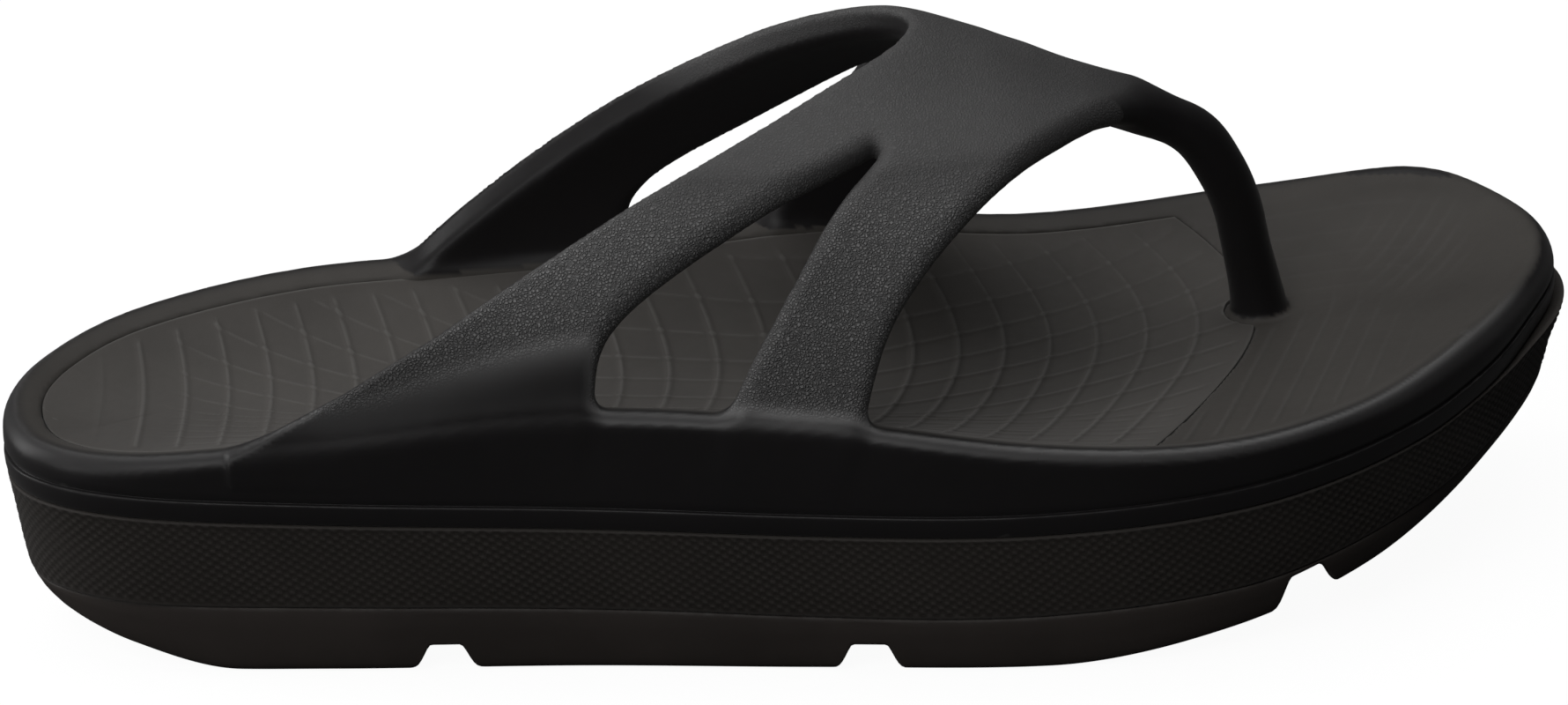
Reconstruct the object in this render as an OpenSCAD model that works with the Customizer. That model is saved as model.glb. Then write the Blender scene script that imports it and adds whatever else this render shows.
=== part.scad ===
// Moulded thong sandal, right foot.
// Millimetres. X runs from heel to toe, -Y is the outer (little toe) side,
// +Y the inner (big toe) side, +Z up. The origin is on the ground under the
// centre of the outline.

/* [Overall size] */
// Overall length from heel to toe
shoe_length = 270; // [240:1:300]
// Overall width across the ball of the foot
shoe_width = 101; // [92:1:112]
// Height of the rim at the arch, above the ground
arch_rim_height = 48; // [44:0.5:54]
// Height of the top of the strap above the ground
strap_top_height = 98.5; // [90:0.5:108]

/* [Upper] */
// Thickness of the four strap legs and the yoke
strap_thickness = 5.6; // [4.8:0.1:6.4]
// Width of the toe post at its narrowest
post_width = 8.4; // [7:0.1:9.6]
// Height of the raised band above the parting line
band_height = 3.8; // [2.8:0.1:4.6]
// Thickness of the upper's floor under the footbed panel
floor_thickness = 3; // [2:0.1:4]

/* [Footbed panel] */
// How far the panel's edge lies inside the outline
panel_inset = 7.1; // [7.1:0.1:9]
// How far the outer edge of the panel lies below the rim's crest
panel_drop = 1.3; // [0.8:0.1:2.5]

/* [Outsole] */
// Depth of the two grooves under the heel and the arch
groove_depth = 4.4; // [1.5:0.1:5.5]
// Depth of the groove under the toes
toe_groove_depth = 3.4; // [1.5:0.1:4.5]

/* [Toe post root] */
// Outside diameter of the retaining washer
washer_diameter = 24; // [20:0.5:28]
// Thickness of the retaining washer
washer_thickness = 2; // [1.5:0.1:2.6]
// Diameter of the post's root where it passes the washer
root_diameter = 9.6; // [8:0.1:11]
// Diameter of the head under the washer
head_diameter = 15; // [13:0.5:17]

/* [Fit] */
// Gap left between cemented pieces
glue_gap = 0.1; // [0.06:0.01:0.2]

/* [Hidden] */

// ---- design stations, at nominal size ----
NOMINAL_RIM = 48;
NOMINAL_TOP = 98.5;
STRAP_BASE = 45;    // above this height the strap scales on its own

// Outline, heel tip first, along the outer side to the toe and back along
// the inner side: [x, y, height of the rim's crest]
STATIONS = [
  [-135, -3, 41.5], [-130, -18.5, 40], [-113, -28.5, 40], [-81.5, -34.5, 43],
  [-40.5, -40, 47.5], [-2, -47, 46], [36.5, -53, 41], [68, -51, 38.5],
  [95.5, -39.5, 39.5], [118, -20, 43], [134, 4, 46.5], [133, 27, 48.5],
  [115.5, 43, 49.5], [83.5, 48, 45.5], [46, 46, 44], [5.5, 39, 50],
  [-39.5, 35.5, 48], [-81.5, 36, 47], [-113, 29.5, 44], [-129.5, 15.5, 42]];

// Heights along the length: [x, z]
// between midsole and upper
PARTING = [
  [-135, 30], [-80, 28], [-30, 26.5], [20, 25.3], [70, 26.5],
  [105, 29.7], [115, 31.8], [122, 33.8], [128, 36], [136, 37.8]];
// between outsole and midsole
SOLE_EDGE = [
  [-135, 13], [-80, 12.4], [-30, 11.4], [20, 10], [70, 11.7], [105, 17.5], [136, 27]];
// underside of the outsole
ROCKER = [
  [-135, 12.5], [-115, 4], [-97, 0], [-40, 0], [38, 0],
  [70, 3.8], [95, 9.3], [115, 16], [135, 24]];
// middle of the foot bed
DISH = [
  [-136, 39.5], [-118, 37.6], [-90, 36.6], [-40, 36.2], [0, 35.4],
  [40, 34.6], [80, 36], [105, 39.2], [122, 42.6], [136, 46]];

// Strap: two bands that cross the foot and join in the yoke. Each has a heel-side
// and a toe-side edge, from the outer rim over the yoke to the inner rim: [x, y, z]
REAR_BAND_HEEL_EDGE = [
  [-84, -30.5, 41], [-58, -32.5, 60], [-28.5, -29, 77], [2, -18, 88.5], [23, 4, 95.5],
  [-0.5, 21.5, 87], [-27.5, 29.5, 72], [-52, 31.5, 55], [-66, 31.8, 42]];
REAR_BAND_TOE_EDGE = [
  [-39, -36, 44], [-34, -37, 62], [-10, -32, 77.5], [13.5, -22, 86], [37, 5, 90],
  [17.5, 20.5, 85], [-4.5, 29, 74], [-26.5, 32.5, 60.5], [-31, 32.1, 44]];
FRONT_BAND_HEEL_EDGE = [
  [-8, -41.8, 44], [-2.5, -40, 60.5], [8.5, -33, 77], [19.5, -22.5, 85.3], [37, 5, 90],
  [23, 22, 84.5], [15, 31, 72.5], [6.5, 34.8, 60], [-1, 35.1, 46]];
FRONT_BAND_TOE_EDGE = [
  [5.5, -44.5, 43], [12, -41.5, 62], [26.3, -33.4, 77], [45, -16.3, 83.2], [60, 7.5, 79.5],
  [50, 22, 78], [37, 33, 68], [27.5, 37, 56.5], [22, 38.4, 43]];
// Toe post, from the yoke down: [x, y, z, thickness as a share of post_width]
POST = [
  [42, 6.2, 85.8, 0.8], [52, 7, 82.2, 0.9], [60, 7.4, 79, 0.98], [66.2, 8, 75.8, 1.03],
  [71.8, 8.8, 71, 1.05], [76, 9.4, 64.7, 1.05], [78.9, 10.2, 57.5, 1.03],
  [80.4, 11, 49, 1.02], [82, 11.8, 41, 1.1], [83, 12.2, 34.5, 1.24]];
// Grooves across the outsole: [x, width at the mouth, width at the root, depth]
GROOVES = [
  [-62.5, 14, 4.6, groove_depth],
  [8.2, 14, 5.2, groove_depth],
  [83, 11.5, 2.4, toe_groove_depth]];

// ---- side profiles ----
// Insets of the wall from the outline
SOLE_INSET = 1.6;       // at SOLE_EDGE
PARTING_INSET = 0.9;    // at PARTING
BAND_INSET = 0.7;       // at the top of the raised band
BAND_MIDDLE = [0.45, 0.15];   // share of band_height, inset
RIM_STEP = 1.4;         // from the band's top up to the start of the rim
// [share of the height from the start of the rim to its crest, inset]
RIM_WALL = [[0, 0.1], [0.45, 0], [0.72, 0.35], [0.9, 1.1], [1, 2.4]];
LIP = [4.4, 0.45];      // inner edge of the crest: inset, drop
DISH_INSET = panel_inset - 0.2;
// [share of the height of the wall, inset]
MIDSOLE_WALL = [[0.3, 1.15], [0.7, 0.85]];
OUTSOLE_WALL = [[0.32, 3.4], [0.68, 2.2]];
// Edge of the underside: [inset, lift]
TREAD_EDGE = [[6.2, 0], [5.2, 0.35]];

// ---- resolution and foot bed shape ----
POINTS = 96;            // points round the outline
HALF = POINTS / 2;
SEAM = POINTS / 3;      // the panel ends at this row, at the toe post
STEPS = 10;             // steps across the foot
BAND_STEPS = 21;        // steps along each strap band
GROOVE_STEPS = 6;       // steps up each side of a groove
SEAM_BOW = 14;          // how far the seam bows forward in its middle
BOW_SKEW = 0.6;         // how much the bow leans to the inner side
DISH_POWER = 2.6;       // how sharply the dish rises towards its edges

// ---- interpolation ----
function wrap(i, count) = (i % count + count) % count;
// Catmull-Rom spline from b to c
function spline(a, b, c, d, t) =
  0.5 * (2 * b + (c - a) * t + (2 * a - 5 * b + 4 * c - d) * t * t
    + (3 * b - a - 3 * c + d) * t * t * t);
function closed_curve(knots, count) = let (size = len(knots)) [
  for (j = [0:count - 1])
    let (t = j * size / count, i = floor(t))
    spline(knots[wrap(i - 1, size)], knots[i], knots[wrap(i + 1, size)],
      knots[wrap(i + 2, size)], t - i)];
function open_curve(knots, steps) = let (last = len(knots) - 1) [
  for (j = [0:steps])
    let (t = j * last / steps, i = min(floor(t), last - 1))
    spline(i == 0 ? 2 * knots[0] - knots[1] : knots[i - 1], knots[i], knots[i + 1],
      i == last - 1 ? 2 * knots[last] - knots[last - 1] : knots[i + 2], t - i)];

function slot_of(table, x, i = 0) =
  (i >= len(table) - 2 || x < table[i + 1][0]) ? i : slot_of(table, x, i + 1);
function chord_slope(table, i) =
  (table[i + 1][1] - table[i][1]) / (table[i + 1][0] - table[i][0]);
function knot_slope(table, i) =
  i == 0 ? chord_slope(table, 0)
  : i == len(table) - 1 ? chord_slope(table, i - 1)
  : let (before = chord_slope(table, i - 1), after = chord_slope(table, i))
    (before * after <= 0 ? 0 : 2 * before * after / (before + after));
// Smooth table lookup that never overshoots, straight beyond its ends
function at(table, x) =
  let (
    i = slot_of(table, x),
    run = table[i + 1][0] - table[i][0],
    share = (x - table[i][0]) / run,
    t = max(0, min(1, share)),
    start_rise = run * knot_slope(table, i),
    end_rise = run * knot_slope(table, i + 1))
  table[i][1] * (1 + 2 * t) * (1 - t) * (1 - t) + start_rise * t * (1 - t) * (1 - t)
  + table[i + 1][1] * t * t * (3 - 2 * t) + end_rise * t * t * (t - 1)
  + (share < 0 ? start_rise * share : share > 1 ? end_rise * (share - 1) : 0);

// ---- outline and scaling ----
OUTLINE = closed_curve(STATIONS, POINTS);
// Outward unit normals of the outline
NORMALS = [
  for (i = [0:POINTS - 1])
    let (
      chord = OUTLINE[wrap(i + 1, POINTS)] - OUTLINE[wrap(i - 1, POINTS)],
      size = norm([chord[0], chord[1]]))
    [chord[1] / size, -chord[0] / size]];
XS = [for (p = OUTLINE) p[0]];
YS = [for (p = OUTLINE) p[1]];
X_SCALE = shoe_length / (max(XS) - min(XS));
Y_SCALE = shoe_width / (max(YS) - min(YS));
Z_SCALE = arch_rim_height / NOMINAL_RIM;
STRAP_SCALE = (strap_top_height - STRAP_BASE * Z_SCALE) / (NOMINAL_TOP - STRAP_BASE);
X_CENTRE = (max(XS) + min(XS)) / 2;
Y_CENTRE = (max(YS) + min(YS)) / 2;

// From nominal design coordinates to the finished size
function place(p) = [(p[0] - X_CENTRE) * X_SCALE, (p[1] - Y_CENTRE) * Y_SCALE, p[2] * Z_SCALE];
function place_strap(p) =
  place([p[0], p[1], min(p[2], STRAP_BASE)])
  + [0, 0, max(0, p[2] - STRAP_BASE) * STRAP_SCALE];
// Angle about Y that lays a piece along the table's slope at x
function tilt(table, x) = -atan((at(table, x + 0.5) - at(table, x - 0.5)) * Z_SCALE / X_SCALE);

// ---- rings round the sole ----
function inside(i, inset) =
  [OUTLINE[i][0] - NORMALS[i][0] * inset, OUTLINE[i][1] - NORMALS[i][1] * inset];
// between two tables of heights, share from 0 to 1
function wall(low, high, share, inset, lift = 0) = [
  for (i = [0:POINTS - 1])
    let (p = inside(i, inset))
    [p[0], p[1], at(low, p[0]) * (1 - share) + at(high, p[0]) * share + lift]];
function ring(table, inset, lift = 0) = wall(table, table, 0, inset, lift);
function rim_start(i) = at(PARTING, inside(i, BAND_INSET)[0]) + band_height + RIM_STEP;
function rim(share, inset) = [
  for (i = [0:POINTS - 1])
    let (p = inside(i, inset))
    [p[0], p[1], rim_start(i) * (1 - share) + OUTLINE[i][2] * share]];
function lip(inset, drop) = [
  for (i = [0:POINTS - 1])
    let (p = inside(i, inset))
    [p[0], p[1], OUTLINE[i][2] - drop]];

// ---- top of the foot bed ----
// Row i runs across the foot from outline point i to point POINTS - i
function bow(i) =
  SEAM_BOW * (i <= SEAM ? pow(i / SEAM, 2) : pow((HALF - i) / (HALF - SEAM), 0.8));
function across(i, k, inset, drop) =
  let (
    v = 2 * k / STEPS - 1,    // -1 at the outer side, 1 at the inner side
    opposite = wrap(POINTS - i, POINTS),
    p = inside(i, inset) * (1 - v) / 2 + inside(opposite, inset) * (1 + v) / 2,
    x = p[0] + bow(i) * (1 - v * v) * (1 + BOW_SKEW * v),
    edge = OUTLINE[v < 0 ? i : opposite][2] - drop,
    middle = at(DISH, x))
  [x, p[1], middle + (edge - middle) * pow(abs(v), DISH_POWER)];

// ---- solids from rings ----
function quad(q) = [[q[0], q[1], q[2]], [q[0], q[2], q[3]]];
function flipped(faces, offset) =
  [for (f = faces) [f[2] + offset, f[1] + offset, f[0] + offset]];
function ring_points(rings) = [for (row = rings) each [for (p = row) place(p)]];
function side_faces(levels) = [
  for (level = [0:levels - 2], i = [0:POINTS - 1])
    let (a = level * POINTS + i, b = level * POINTS + wrap(i + 1, POINTS))
    each quad([a, a + POINTS, b + POINTS, b])];
function base_faces() = concat(
  [[0, 1, POINTS - 1], [HALF - 1, HALF, HALF + 1]],
  [for (i = [1:HALF - 2]) each quad([i, i + 1, POINTS - i - 1, POINTS - i])]);

// Closed by a flat-meshed top
module stack(rings) {
  polyhedron(
    points = ring_points(rings),
    faces = concat(base_faces(), side_faces(len(rings)),
      flipped(base_faces(), (len(rings) - 1) * POINTS)),
    convexity = 6);
}

// Closed by the dished top of the foot bed
module dished_stack(rings, inset, drop) {
  last_ring = (len(rings) - 1) * POINTS;
  grid = len(rings) * POINTS;
  function id(i, k) =
    (i == 0 || i == HALF || k == 0) ? last_ring + i
    : k == STEPS ? last_ring + POINTS - i
    : grid + (i - 1) * (STEPS - 1) + k - 1;
  polyhedron(
    points = concat(ring_points(rings),
      [for (i = [1:HALF - 1], k = [1:STEPS - 1]) place(across(i, k, inset, drop))]),
    faces = concat(base_faces(), side_faces(len(rings)),
      [for (k = [0:STEPS - 1]) [last_ring, id(1, k + 1), id(1, k)]],
      [for (k = [0:STEPS - 1]) [id(HALF - 1, k), id(HALF - 1, k + 1), last_ring + HALF]],
      [for (i = [1:HALF - 2], k = [0:STEPS - 1])
        each quad([id(i, k), id(i, k + 1), id(i + 1, k + 1), id(i + 1, k)])]),
    convexity = 6);
}

// Panel from the heel to the seam, between the dish and the upper's floor;
// its top and bottom can be shifted
module panel(inset, top_shift = 0, bottom_shift = 0) {
  bottom = 1 + SEAM * (STEPS + 1);
  function id(i, k) = i == 0 ? 0 : 1 + (i - 1) * (STEPS + 1) + k;
  top = [
    across(0, 0, inset, panel_drop),
    for (i = [1:SEAM], k = [0:STEPS]) across(i, k, inset, panel_drop)];
  edge = concat([for (i = [0:SEAM]) id(i, 0)], [for (k = [1:STEPS - 1]) id(SEAM, k)],
    [for (i = [SEAM:-1:1]) id(i, STEPS)]);
  top_faces = concat(
    [for (k = [0:STEPS - 1]) [0, id(1, k + 1), id(1, k)]],
    [for (i = [1:SEAM - 1], k = [0:STEPS - 1])
      each quad([id(i, k), id(i, k + 1), id(i + 1, k + 1), id(i + 1, k)])]);
  polyhedron(
    points = concat(
      [for (p = top) place([p[0], p[1], p[2] + top_shift])],
      [for (p = top)
        place([p[0], p[1], at(PARTING, p[0]) + floor_thickness + bottom_shift])]),
    faces = concat(top_faces, flipped(top_faces, bottom),
      [for (j = [0:len(edge) - 1])
        let (a = edge[j], b = edge[(j + 1) % len(edge)])
        each quad([a + bottom, a, b, b + bottom])]),
    convexity = 6);
}

// ---- toe post root ----
// Heights are measured from the parting line, along the tilted root
ROOT = POST[len(POST) - 1];
ROOT_TOP = 1;
WASHER_SEAT = 0.3;      // from the parting line down to the washer
WASHER_LOW = -WASHER_SEAT - washer_thickness;
HEAD_TOP = WASHER_LOW - 0.3;
HEAD_THICK = 2;
HEAD_LOW = HEAD_TOP - HEAD_THICK;
HEAD_CHAMFER = 0.8;
WASHER_CHAMFER = 0.5;
BORE_GAP = 0.15;        // between root and washer, on the radius
POCKET_HEIGHT = 10;     // reaches past the top of the midsole

module at_root() {
  translate(place([ROOT[0], ROOT[1], at(PARTING, ROOT[0])]))
    rotate([0, tilt(PARTING, ROOT[0]), 0])
      children();
}

// Upright column round the foot of the toe post
module post_column(gap, sides) {
  translate(place([ROOT[0], ROOT[1], 0]))
    cylinder(r = post_width * ROOT[3] / 2 + 1.2 + gap, h = 60, $fn = sides);
}

module post_root() {
  at_root() translate([0, 0, HEAD_TOP])
    cylinder(d = root_diameter, h = ROOT_TOP - HEAD_TOP, $fn = 48);
  at_root() translate([0, 0, HEAD_LOW]) {
    cylinder(d1 = head_diameter - 2 * HEAD_CHAMFER, d2 = head_diameter,
      h = HEAD_CHAMFER, $fn = 48);
    translate([0, 0, HEAD_CHAMFER])
      cylinder(d = head_diameter, h = HEAD_THICK - HEAD_CHAMFER, $fn = 48);
  }
}

// ---- strap ----
module band(heel_edge, toe_edge) {
  a = [for (p = open_curve(heel_edge, BAND_STEPS)) place_strap(p)];
  b = [for (p = open_curve(toe_edge, BAND_STEPS)) place_strap(p)];
  for (j = [0:BAND_STEPS - 1])
    hull()
      for (p = [a[j], b[j], a[j + 1], b[j + 1]])
        translate(p) sphere(r = strap_thickness / 2, $fn = 16);
}

module post() {
  for (j = [0:len(POST) - 2])
    hull()
      for (p = [POST[j], POST[j + 1]])
        translate(place_strap(p)) sphere(r = p[3] * post_width / 2, $fn = 24);
}

// ---- the pieces ----
// Rim, strap and toe post in one moulding
module upper() {
  body_rings = concat(
    [ring(PARTING, PARTING_INSET, glue_gap / 2),
      ring(PARTING, BAND_MIDDLE[1], band_height * BAND_MIDDLE[0]),
      ring(PARTING, BAND_INSET, band_height)],
    [for (r = RIM_WALL) rim(r[0], r[1])],
    [lip(LIP[0], LIP[1]), lip(DISH_INSET, panel_drop)]);
  color([0.17, 0.17, 0.165]) {
    difference() {
      dished_stack(body_rings, DISH_INSET, panel_drop);
      // recess for the panel, open at the top
      difference() {
        panel(panel_inset - glue_gap, 6, -glue_gap);
        post_column(0, 32);
      }
    }
    band(REAR_BAND_HEEL_EDGE, REAR_BAND_TOE_EDGE);
    band(FRONT_BAND_HEEL_EDGE, FRONT_BAND_TOE_EDGE);
    post();
    post_root();
  }
}

// Panel set into the upper behind the toe post
module footbed() {
  color([0.28, 0.265, 0.25]) difference() {
    panel(panel_inset);
    post_column(glue_gap, 48);
  }
}

// Cushioning layer with a pocket for the post's root
module midsole() {
  color([0.13, 0.115, 0.11]) difference() {
    stack(concat(
      [ring(SOLE_EDGE, SOLE_INSET, glue_gap / 2)],
      [for (w = MIDSOLE_WALL) wall(SOLE_EDGE, PARTING, w[0], w[1])],
      [ring(PARTING, PARTING_INSET, -glue_gap / 2)]));
    at_root() translate([0, 0, HEAD_TOP])
      cylinder(d = washer_diameter + 0.6, h = POCKET_HEIGHT, $fn = 64);
    at_root() translate([0, 0, HEAD_LOW - 0.5])
      cylinder(d = head_diameter + 0.8, h = POCKET_HEIGHT, $fn = 64);
  }
}

// Cutter for one groove, narrowing upwards from the underside
module groove(x, mouth, root, depth) {
  length = 180;
  below = -6;
  side = [
    for (j = [0:GROOVE_STEPS])
      let (s = j / GROOVE_STEPS)
      [(mouth + (root - mouth) * s) / 2, depth * (1 - cos(180 * s)) / 2]];
  translate([(x - X_CENTRE) * X_SCALE, 0, at(ROCKER, x) * Z_SCALE])
    rotate([0, tilt(ROCKER, x), 0])
      rotate([90, 0, 0])
        translate([0, 0, -length / 2])
          linear_extrude(length)
            polygon(concat([[-mouth / 2, below], [mouth / 2, below]], side,
              [for (j = [GROOVE_STEPS:-1:0]) [-side[j][0], side[j][1]]]));
}

// Ground-contact layer: rockered underside, three grooves across
module outsole() {
  color([0.075, 0.068, 0.064]) difference() {
    stack(concat(
      [for (e = TREAD_EDGE) ring(ROCKER, e[0], e[1])],
      [for (w = OUTSOLE_WALL) wall(ROCKER, SOLE_EDGE, w[0], w[1])],
      [ring(SOLE_EDGE, SOLE_INSET, -glue_gap / 2)]));
    for (g = GROOVES) groove(g[0], g[1], g[2], g[3]);
  }
}

// Hidden washer round the post's root, in the midsole's pocket
module toe_post_washer() {
  bore = root_diameter / 2 + BORE_GAP;
  outer = washer_diameter / 2;
  color([0.42, 0.42, 0.40]) at_root() translate([0, 0, WASHER_LOW])
    rotate_extrude($fn = 64) polygon([
      [bore, 0],
      [outer - WASHER_CHAMFER, 0],
      [outer, WASHER_CHAMFER],
      [outer, washer_thickness - WASHER_CHAMFER],
      [outer - WASHER_CHAMFER, washer_thickness],
      [bore, washer_thickness]]);
}

upper();
footbed();
midsole();
outsole();
toe_post_washer();
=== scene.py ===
"""A moulded sandal: footbed, midsole, outsole, washer, and an upper whose rim, four-legged strap
and toe post are one piece.

The design is in millimetres: x runs from heel (-) to toe (+), y from the outer side (-) to the
inner side (+), z up from the ground. to_metres() carries it onto the CAD part's own place.
"""
import math
import bmesh
import bpy
import numpy as np
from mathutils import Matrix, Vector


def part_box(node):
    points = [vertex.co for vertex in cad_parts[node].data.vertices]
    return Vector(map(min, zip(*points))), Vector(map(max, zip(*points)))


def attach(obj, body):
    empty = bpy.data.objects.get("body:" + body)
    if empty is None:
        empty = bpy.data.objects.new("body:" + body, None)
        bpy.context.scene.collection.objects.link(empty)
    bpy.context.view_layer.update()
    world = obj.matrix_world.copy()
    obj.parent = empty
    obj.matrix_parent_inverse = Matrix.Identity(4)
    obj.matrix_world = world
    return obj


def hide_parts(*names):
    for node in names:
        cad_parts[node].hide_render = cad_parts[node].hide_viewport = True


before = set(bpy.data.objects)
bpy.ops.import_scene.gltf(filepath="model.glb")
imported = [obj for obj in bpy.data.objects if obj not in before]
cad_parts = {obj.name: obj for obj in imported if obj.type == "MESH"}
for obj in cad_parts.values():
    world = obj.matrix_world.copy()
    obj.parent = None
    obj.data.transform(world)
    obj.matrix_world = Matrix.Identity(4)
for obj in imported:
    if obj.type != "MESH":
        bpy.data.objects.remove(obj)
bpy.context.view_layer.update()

import openvdb
from mathutils import Matrix, Vector

MM = 0.001

# ---- design tables -------------------------------------------------------------------------
# Rim's outline: x, y and height of its crest; heel tip first, then the outer side to the toe.
STATIONS = np.array([
    [-135, -3, 41.5], [-130, -18.5, 40], [-113, -28.5, 40], [-81.5, -34.5, 43],
    [-40.5, -40, 47.5], [-2, -47, 46], [36.5, -53, 41], [68, -51, 38.5],
    [95.5, -39.5, 39.5], [118, -20, 43], [134, 4, 46.5], [133, 27, 48.5],
    [115.5, 43, 49.5], [83.5, 48, 45.5], [46, 46, 44], [5.5, 39, 50],
    [-39.5, 35.5, 48], [-81.5, 36, 47], [-113, 29.5, 44], [-129.5, 15.5, 42]], float)
LAP = len(STATIONS)      # an outline parameter counts stations, 0 to LAP

# Edges of the strap's two bands: x, y, z from the outer foot over the top to the inner foot.
REAR_BAND_BACK = [
    [-84, -30.5, 41], [-58, -32.5, 60], [-28.5, -29, 77], [2, -18, 88.5], [23, 4, 95.5],
    [-0.5, 21.5, 87], [-27.5, 29.5, 72], [-52, 31.5, 55], [-66, 31.8, 42]]
REAR_BAND_FRONT = [
    [-39, -36, 44], [-34, -37, 62], [-10, -32, 77.5], [13.5, -22, 86], [37, 5, 90],
    [17.5, 20.5, 85], [-4.5, 29, 74], [-26.5, 32.5, 60.5], [-31, 32.1, 44]]
FRONT_BAND_BACK = [
    [-8, -41.8, 44], [-2.5, -40, 60.5], [8.5, -33, 77], [19.5, -22.5, 85.3], [37, 5, 90],
    [23, 22, 84.5], [15, 31, 72.5], [6.5, 34.8, 60], [-1, 35.1, 46]]
FRONT_BAND_FRONT = [
    [5.5, -44.5, 43], [12, -41.5, 62], [26.3, -33.4, 77], [45, -16.3, 83.2], [60, 7.5, 79.5],
    [50, 22, 78], [37, 33, 68], [27.5, 37, 56.5], [22, 38.4, 43]]
# Toe post's centre line from the yoke down: x, y, z and thickness in POST_WIDTHs.
POST = [
    [42, 6.2, 84.6, 0.5], [52, 7, 80.4, 0.58], [60, 7.4, 77.5, 0.69], [66.3, 8, 74.9, 0.93],
    [71.9, 8.8, 70.9, 1.04], [75.9, 9.4, 64.5, 1.04], [78.7, 10.2, 57.4, 1.02],
    [80.4, 11, 49, 1.02], [82, 11.8, 41, 1.1], [83, 12.2, 34.5, 1.24]]
STRAP_THICK = 5.6
POST_WIDTH = 8.4
FLOOR = 3.0              # floor of the upper's recess, above the parting line
PANEL_INSET = 7.1        # footbed's edge, in from the outline
PANEL_DROP = 1.3         # footbed's edge, below the rim's crest
GAP = 0.1                # clearance between pieces
SEAM_ROW = 32            # rows across the foot: heel 0, footbed's front seam, toe
TOE_ROW = 48
ROOT_XY = np.array(POST[-1][:2])
NOTCH_R = POST_WIDTH * (POST[-1][3] / 2) + 1.2


class Curve:
    """Smooth table lookup that never overshoots, straight beyond its ends."""

    def __init__(self, rows):
        self.x, self.y = np.array(rows, float).T
        chord = np.diff(self.y) / np.diff(self.x)
        self.slope = np.zeros(len(self.x))
        self.slope[0], self.slope[-1] = chord[0], chord[-1]
        before, after = chord[:-1], chord[1:]
        ok = before * after > 0
        mean = 2 * before[ok] * after[ok] / (before[ok] + after[ok])
        self.slope[1:-1][ok] = mean

    def __call__(self, x):
        x = np.asarray(x, float)
        i = np.clip(np.searchsorted(self.x, x, side="right") - 1, 0, len(self.x) - 2)
        width = self.x[i + 1] - self.x[i]
        part = (x - self.x[i]) / width
        c = np.clip(part, 0, 1)
        left, right = self.slope[i], self.slope[i + 1]
        y = (self.y[i] * (1 + 2 * c) * (1 - c) ** 2 + width * left * c * (1 - c) ** 2
             + self.y[i + 1] * c * c * (3 - 2 * c) + width * right * c * c * (c - 1))
        beyond = np.where(part > 1, right * (part - 1) * width, 0)
        return y + np.where(part < 0, left * part * width, beyond)


# Side-view lines of the sandal: x, z.
# top of the midsole
PARTING = Curve([[-135, 30], [-80, 28], [-30, 26.5], [20, 25.3], [70, 26.5], [105, 29.7],
                 [115, 31.8], [122, 33.8], [128, 36], [136, 37.8]])
# top of the outsole
SOLE_EDGE = Curve([[-135, 13], [-80, 12.4], [-30, 11.4], [20, 10], [70, 11.7], [105, 17.5],
                   [136, 27]])
# underside
ROCKER = Curve([[-135, 12.5], [-115, 4], [-97, 0], [-40, 0], [38, 0], [70, 3.8], [95, 9.3],
                [115, 16], [135, 24]])
# lowest line of the footbed
DISH = Curve([[-136, 39.5], [-118, 37.6], [-90, 36.6], [-40, 36.2], [0, 35.4], [40, 34.6],
              [80, 36], [105, 39.2], [122, 42.6], [136, 46]])


def catmull_rom(p0, p1, p2, p3, f):
    return 0.5 * (2 * p1 + (p2 - p0) * f + (2 * p0 - 5 * p1 + 4 * p2 - p3) * f ** 2
                  + (3 * p1 - p0 - 3 * p2 + p3) * f ** 3)


def closed(points, at):
    """Points at parameters on a smooth closed curve."""
    at = np.asarray(at, float)
    count = len(points)
    i = np.floor(at).astype(int)
    f = (at - i)[..., None]
    return catmull_rom(points[(i - 1) % count], points[i % count], points[(i + 1) % count],
                       points[(i + 2) % count], f)


def opened(points, at):
    """Points at parameters on a smooth open curve."""
    points = np.asarray(points, float)
    ends = (2 * points[0] - points[1], 2 * points[-1] - points[-2])
    padded = np.vstack([ends[0], points, ends[1]])
    i = np.clip(np.floor(at).astype(int), 0, len(points) - 2)
    f = (at - i)[..., None]
    return catmull_rom(padded[i], padded[i + 1], padded[i + 2], padded[i + 3], f)


def smooth(start, end, value):
    """0 at start, 1 at end, an S between; start may be the larger."""
    part = np.clip((value - start) / (end - start), 0, 1)
    return part * part * (3 - 2 * part)


def bell(value, centre, width):
    return np.exp(-((value - centre) / width) ** 2)


# ---- where the design sits in metres -------------------------------------------------------
cad_low, cad_high = (np.array(corner, float)[:2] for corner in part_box("upper"))
rim = closed(STATIONS, np.arange(96) * LAP / 96)[:, :2]
plan_scale = (cad_high - cad_low) / (rim.max(axis=0) - rim.min(axis=0))
SCALE = np.append(plan_scale, MM)
ORIGIN = np.append(cad_low - rim.min(axis=0) * plan_scale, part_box("outsole")[0][2])


def to_metres(points):
    return np.asarray(points, float) * SCALE + ORIGIN


# ---- outline -------------------------------------------------------------------------------
def outline(at, inset=0.0):
    """Plan point, outward normal and crest height at outline parameters."""
    at = np.asarray(at, float)
    point = closed(STATIONS, at % LAP)
    e = 0.02
    ahead = closed(STATIONS, (at + e) % LAP)[..., :2]
    run = ahead - closed(STATIONS, (at - e) % LAP)[..., :2]
    length = np.linalg.norm(run, axis=-1, keepdims=True)
    normal = np.stack([run[..., 1], -run[..., 0]], -1) / length
    return point[..., :2] - normal * np.asarray(inset)[..., None], normal, point[..., 2]


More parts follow.
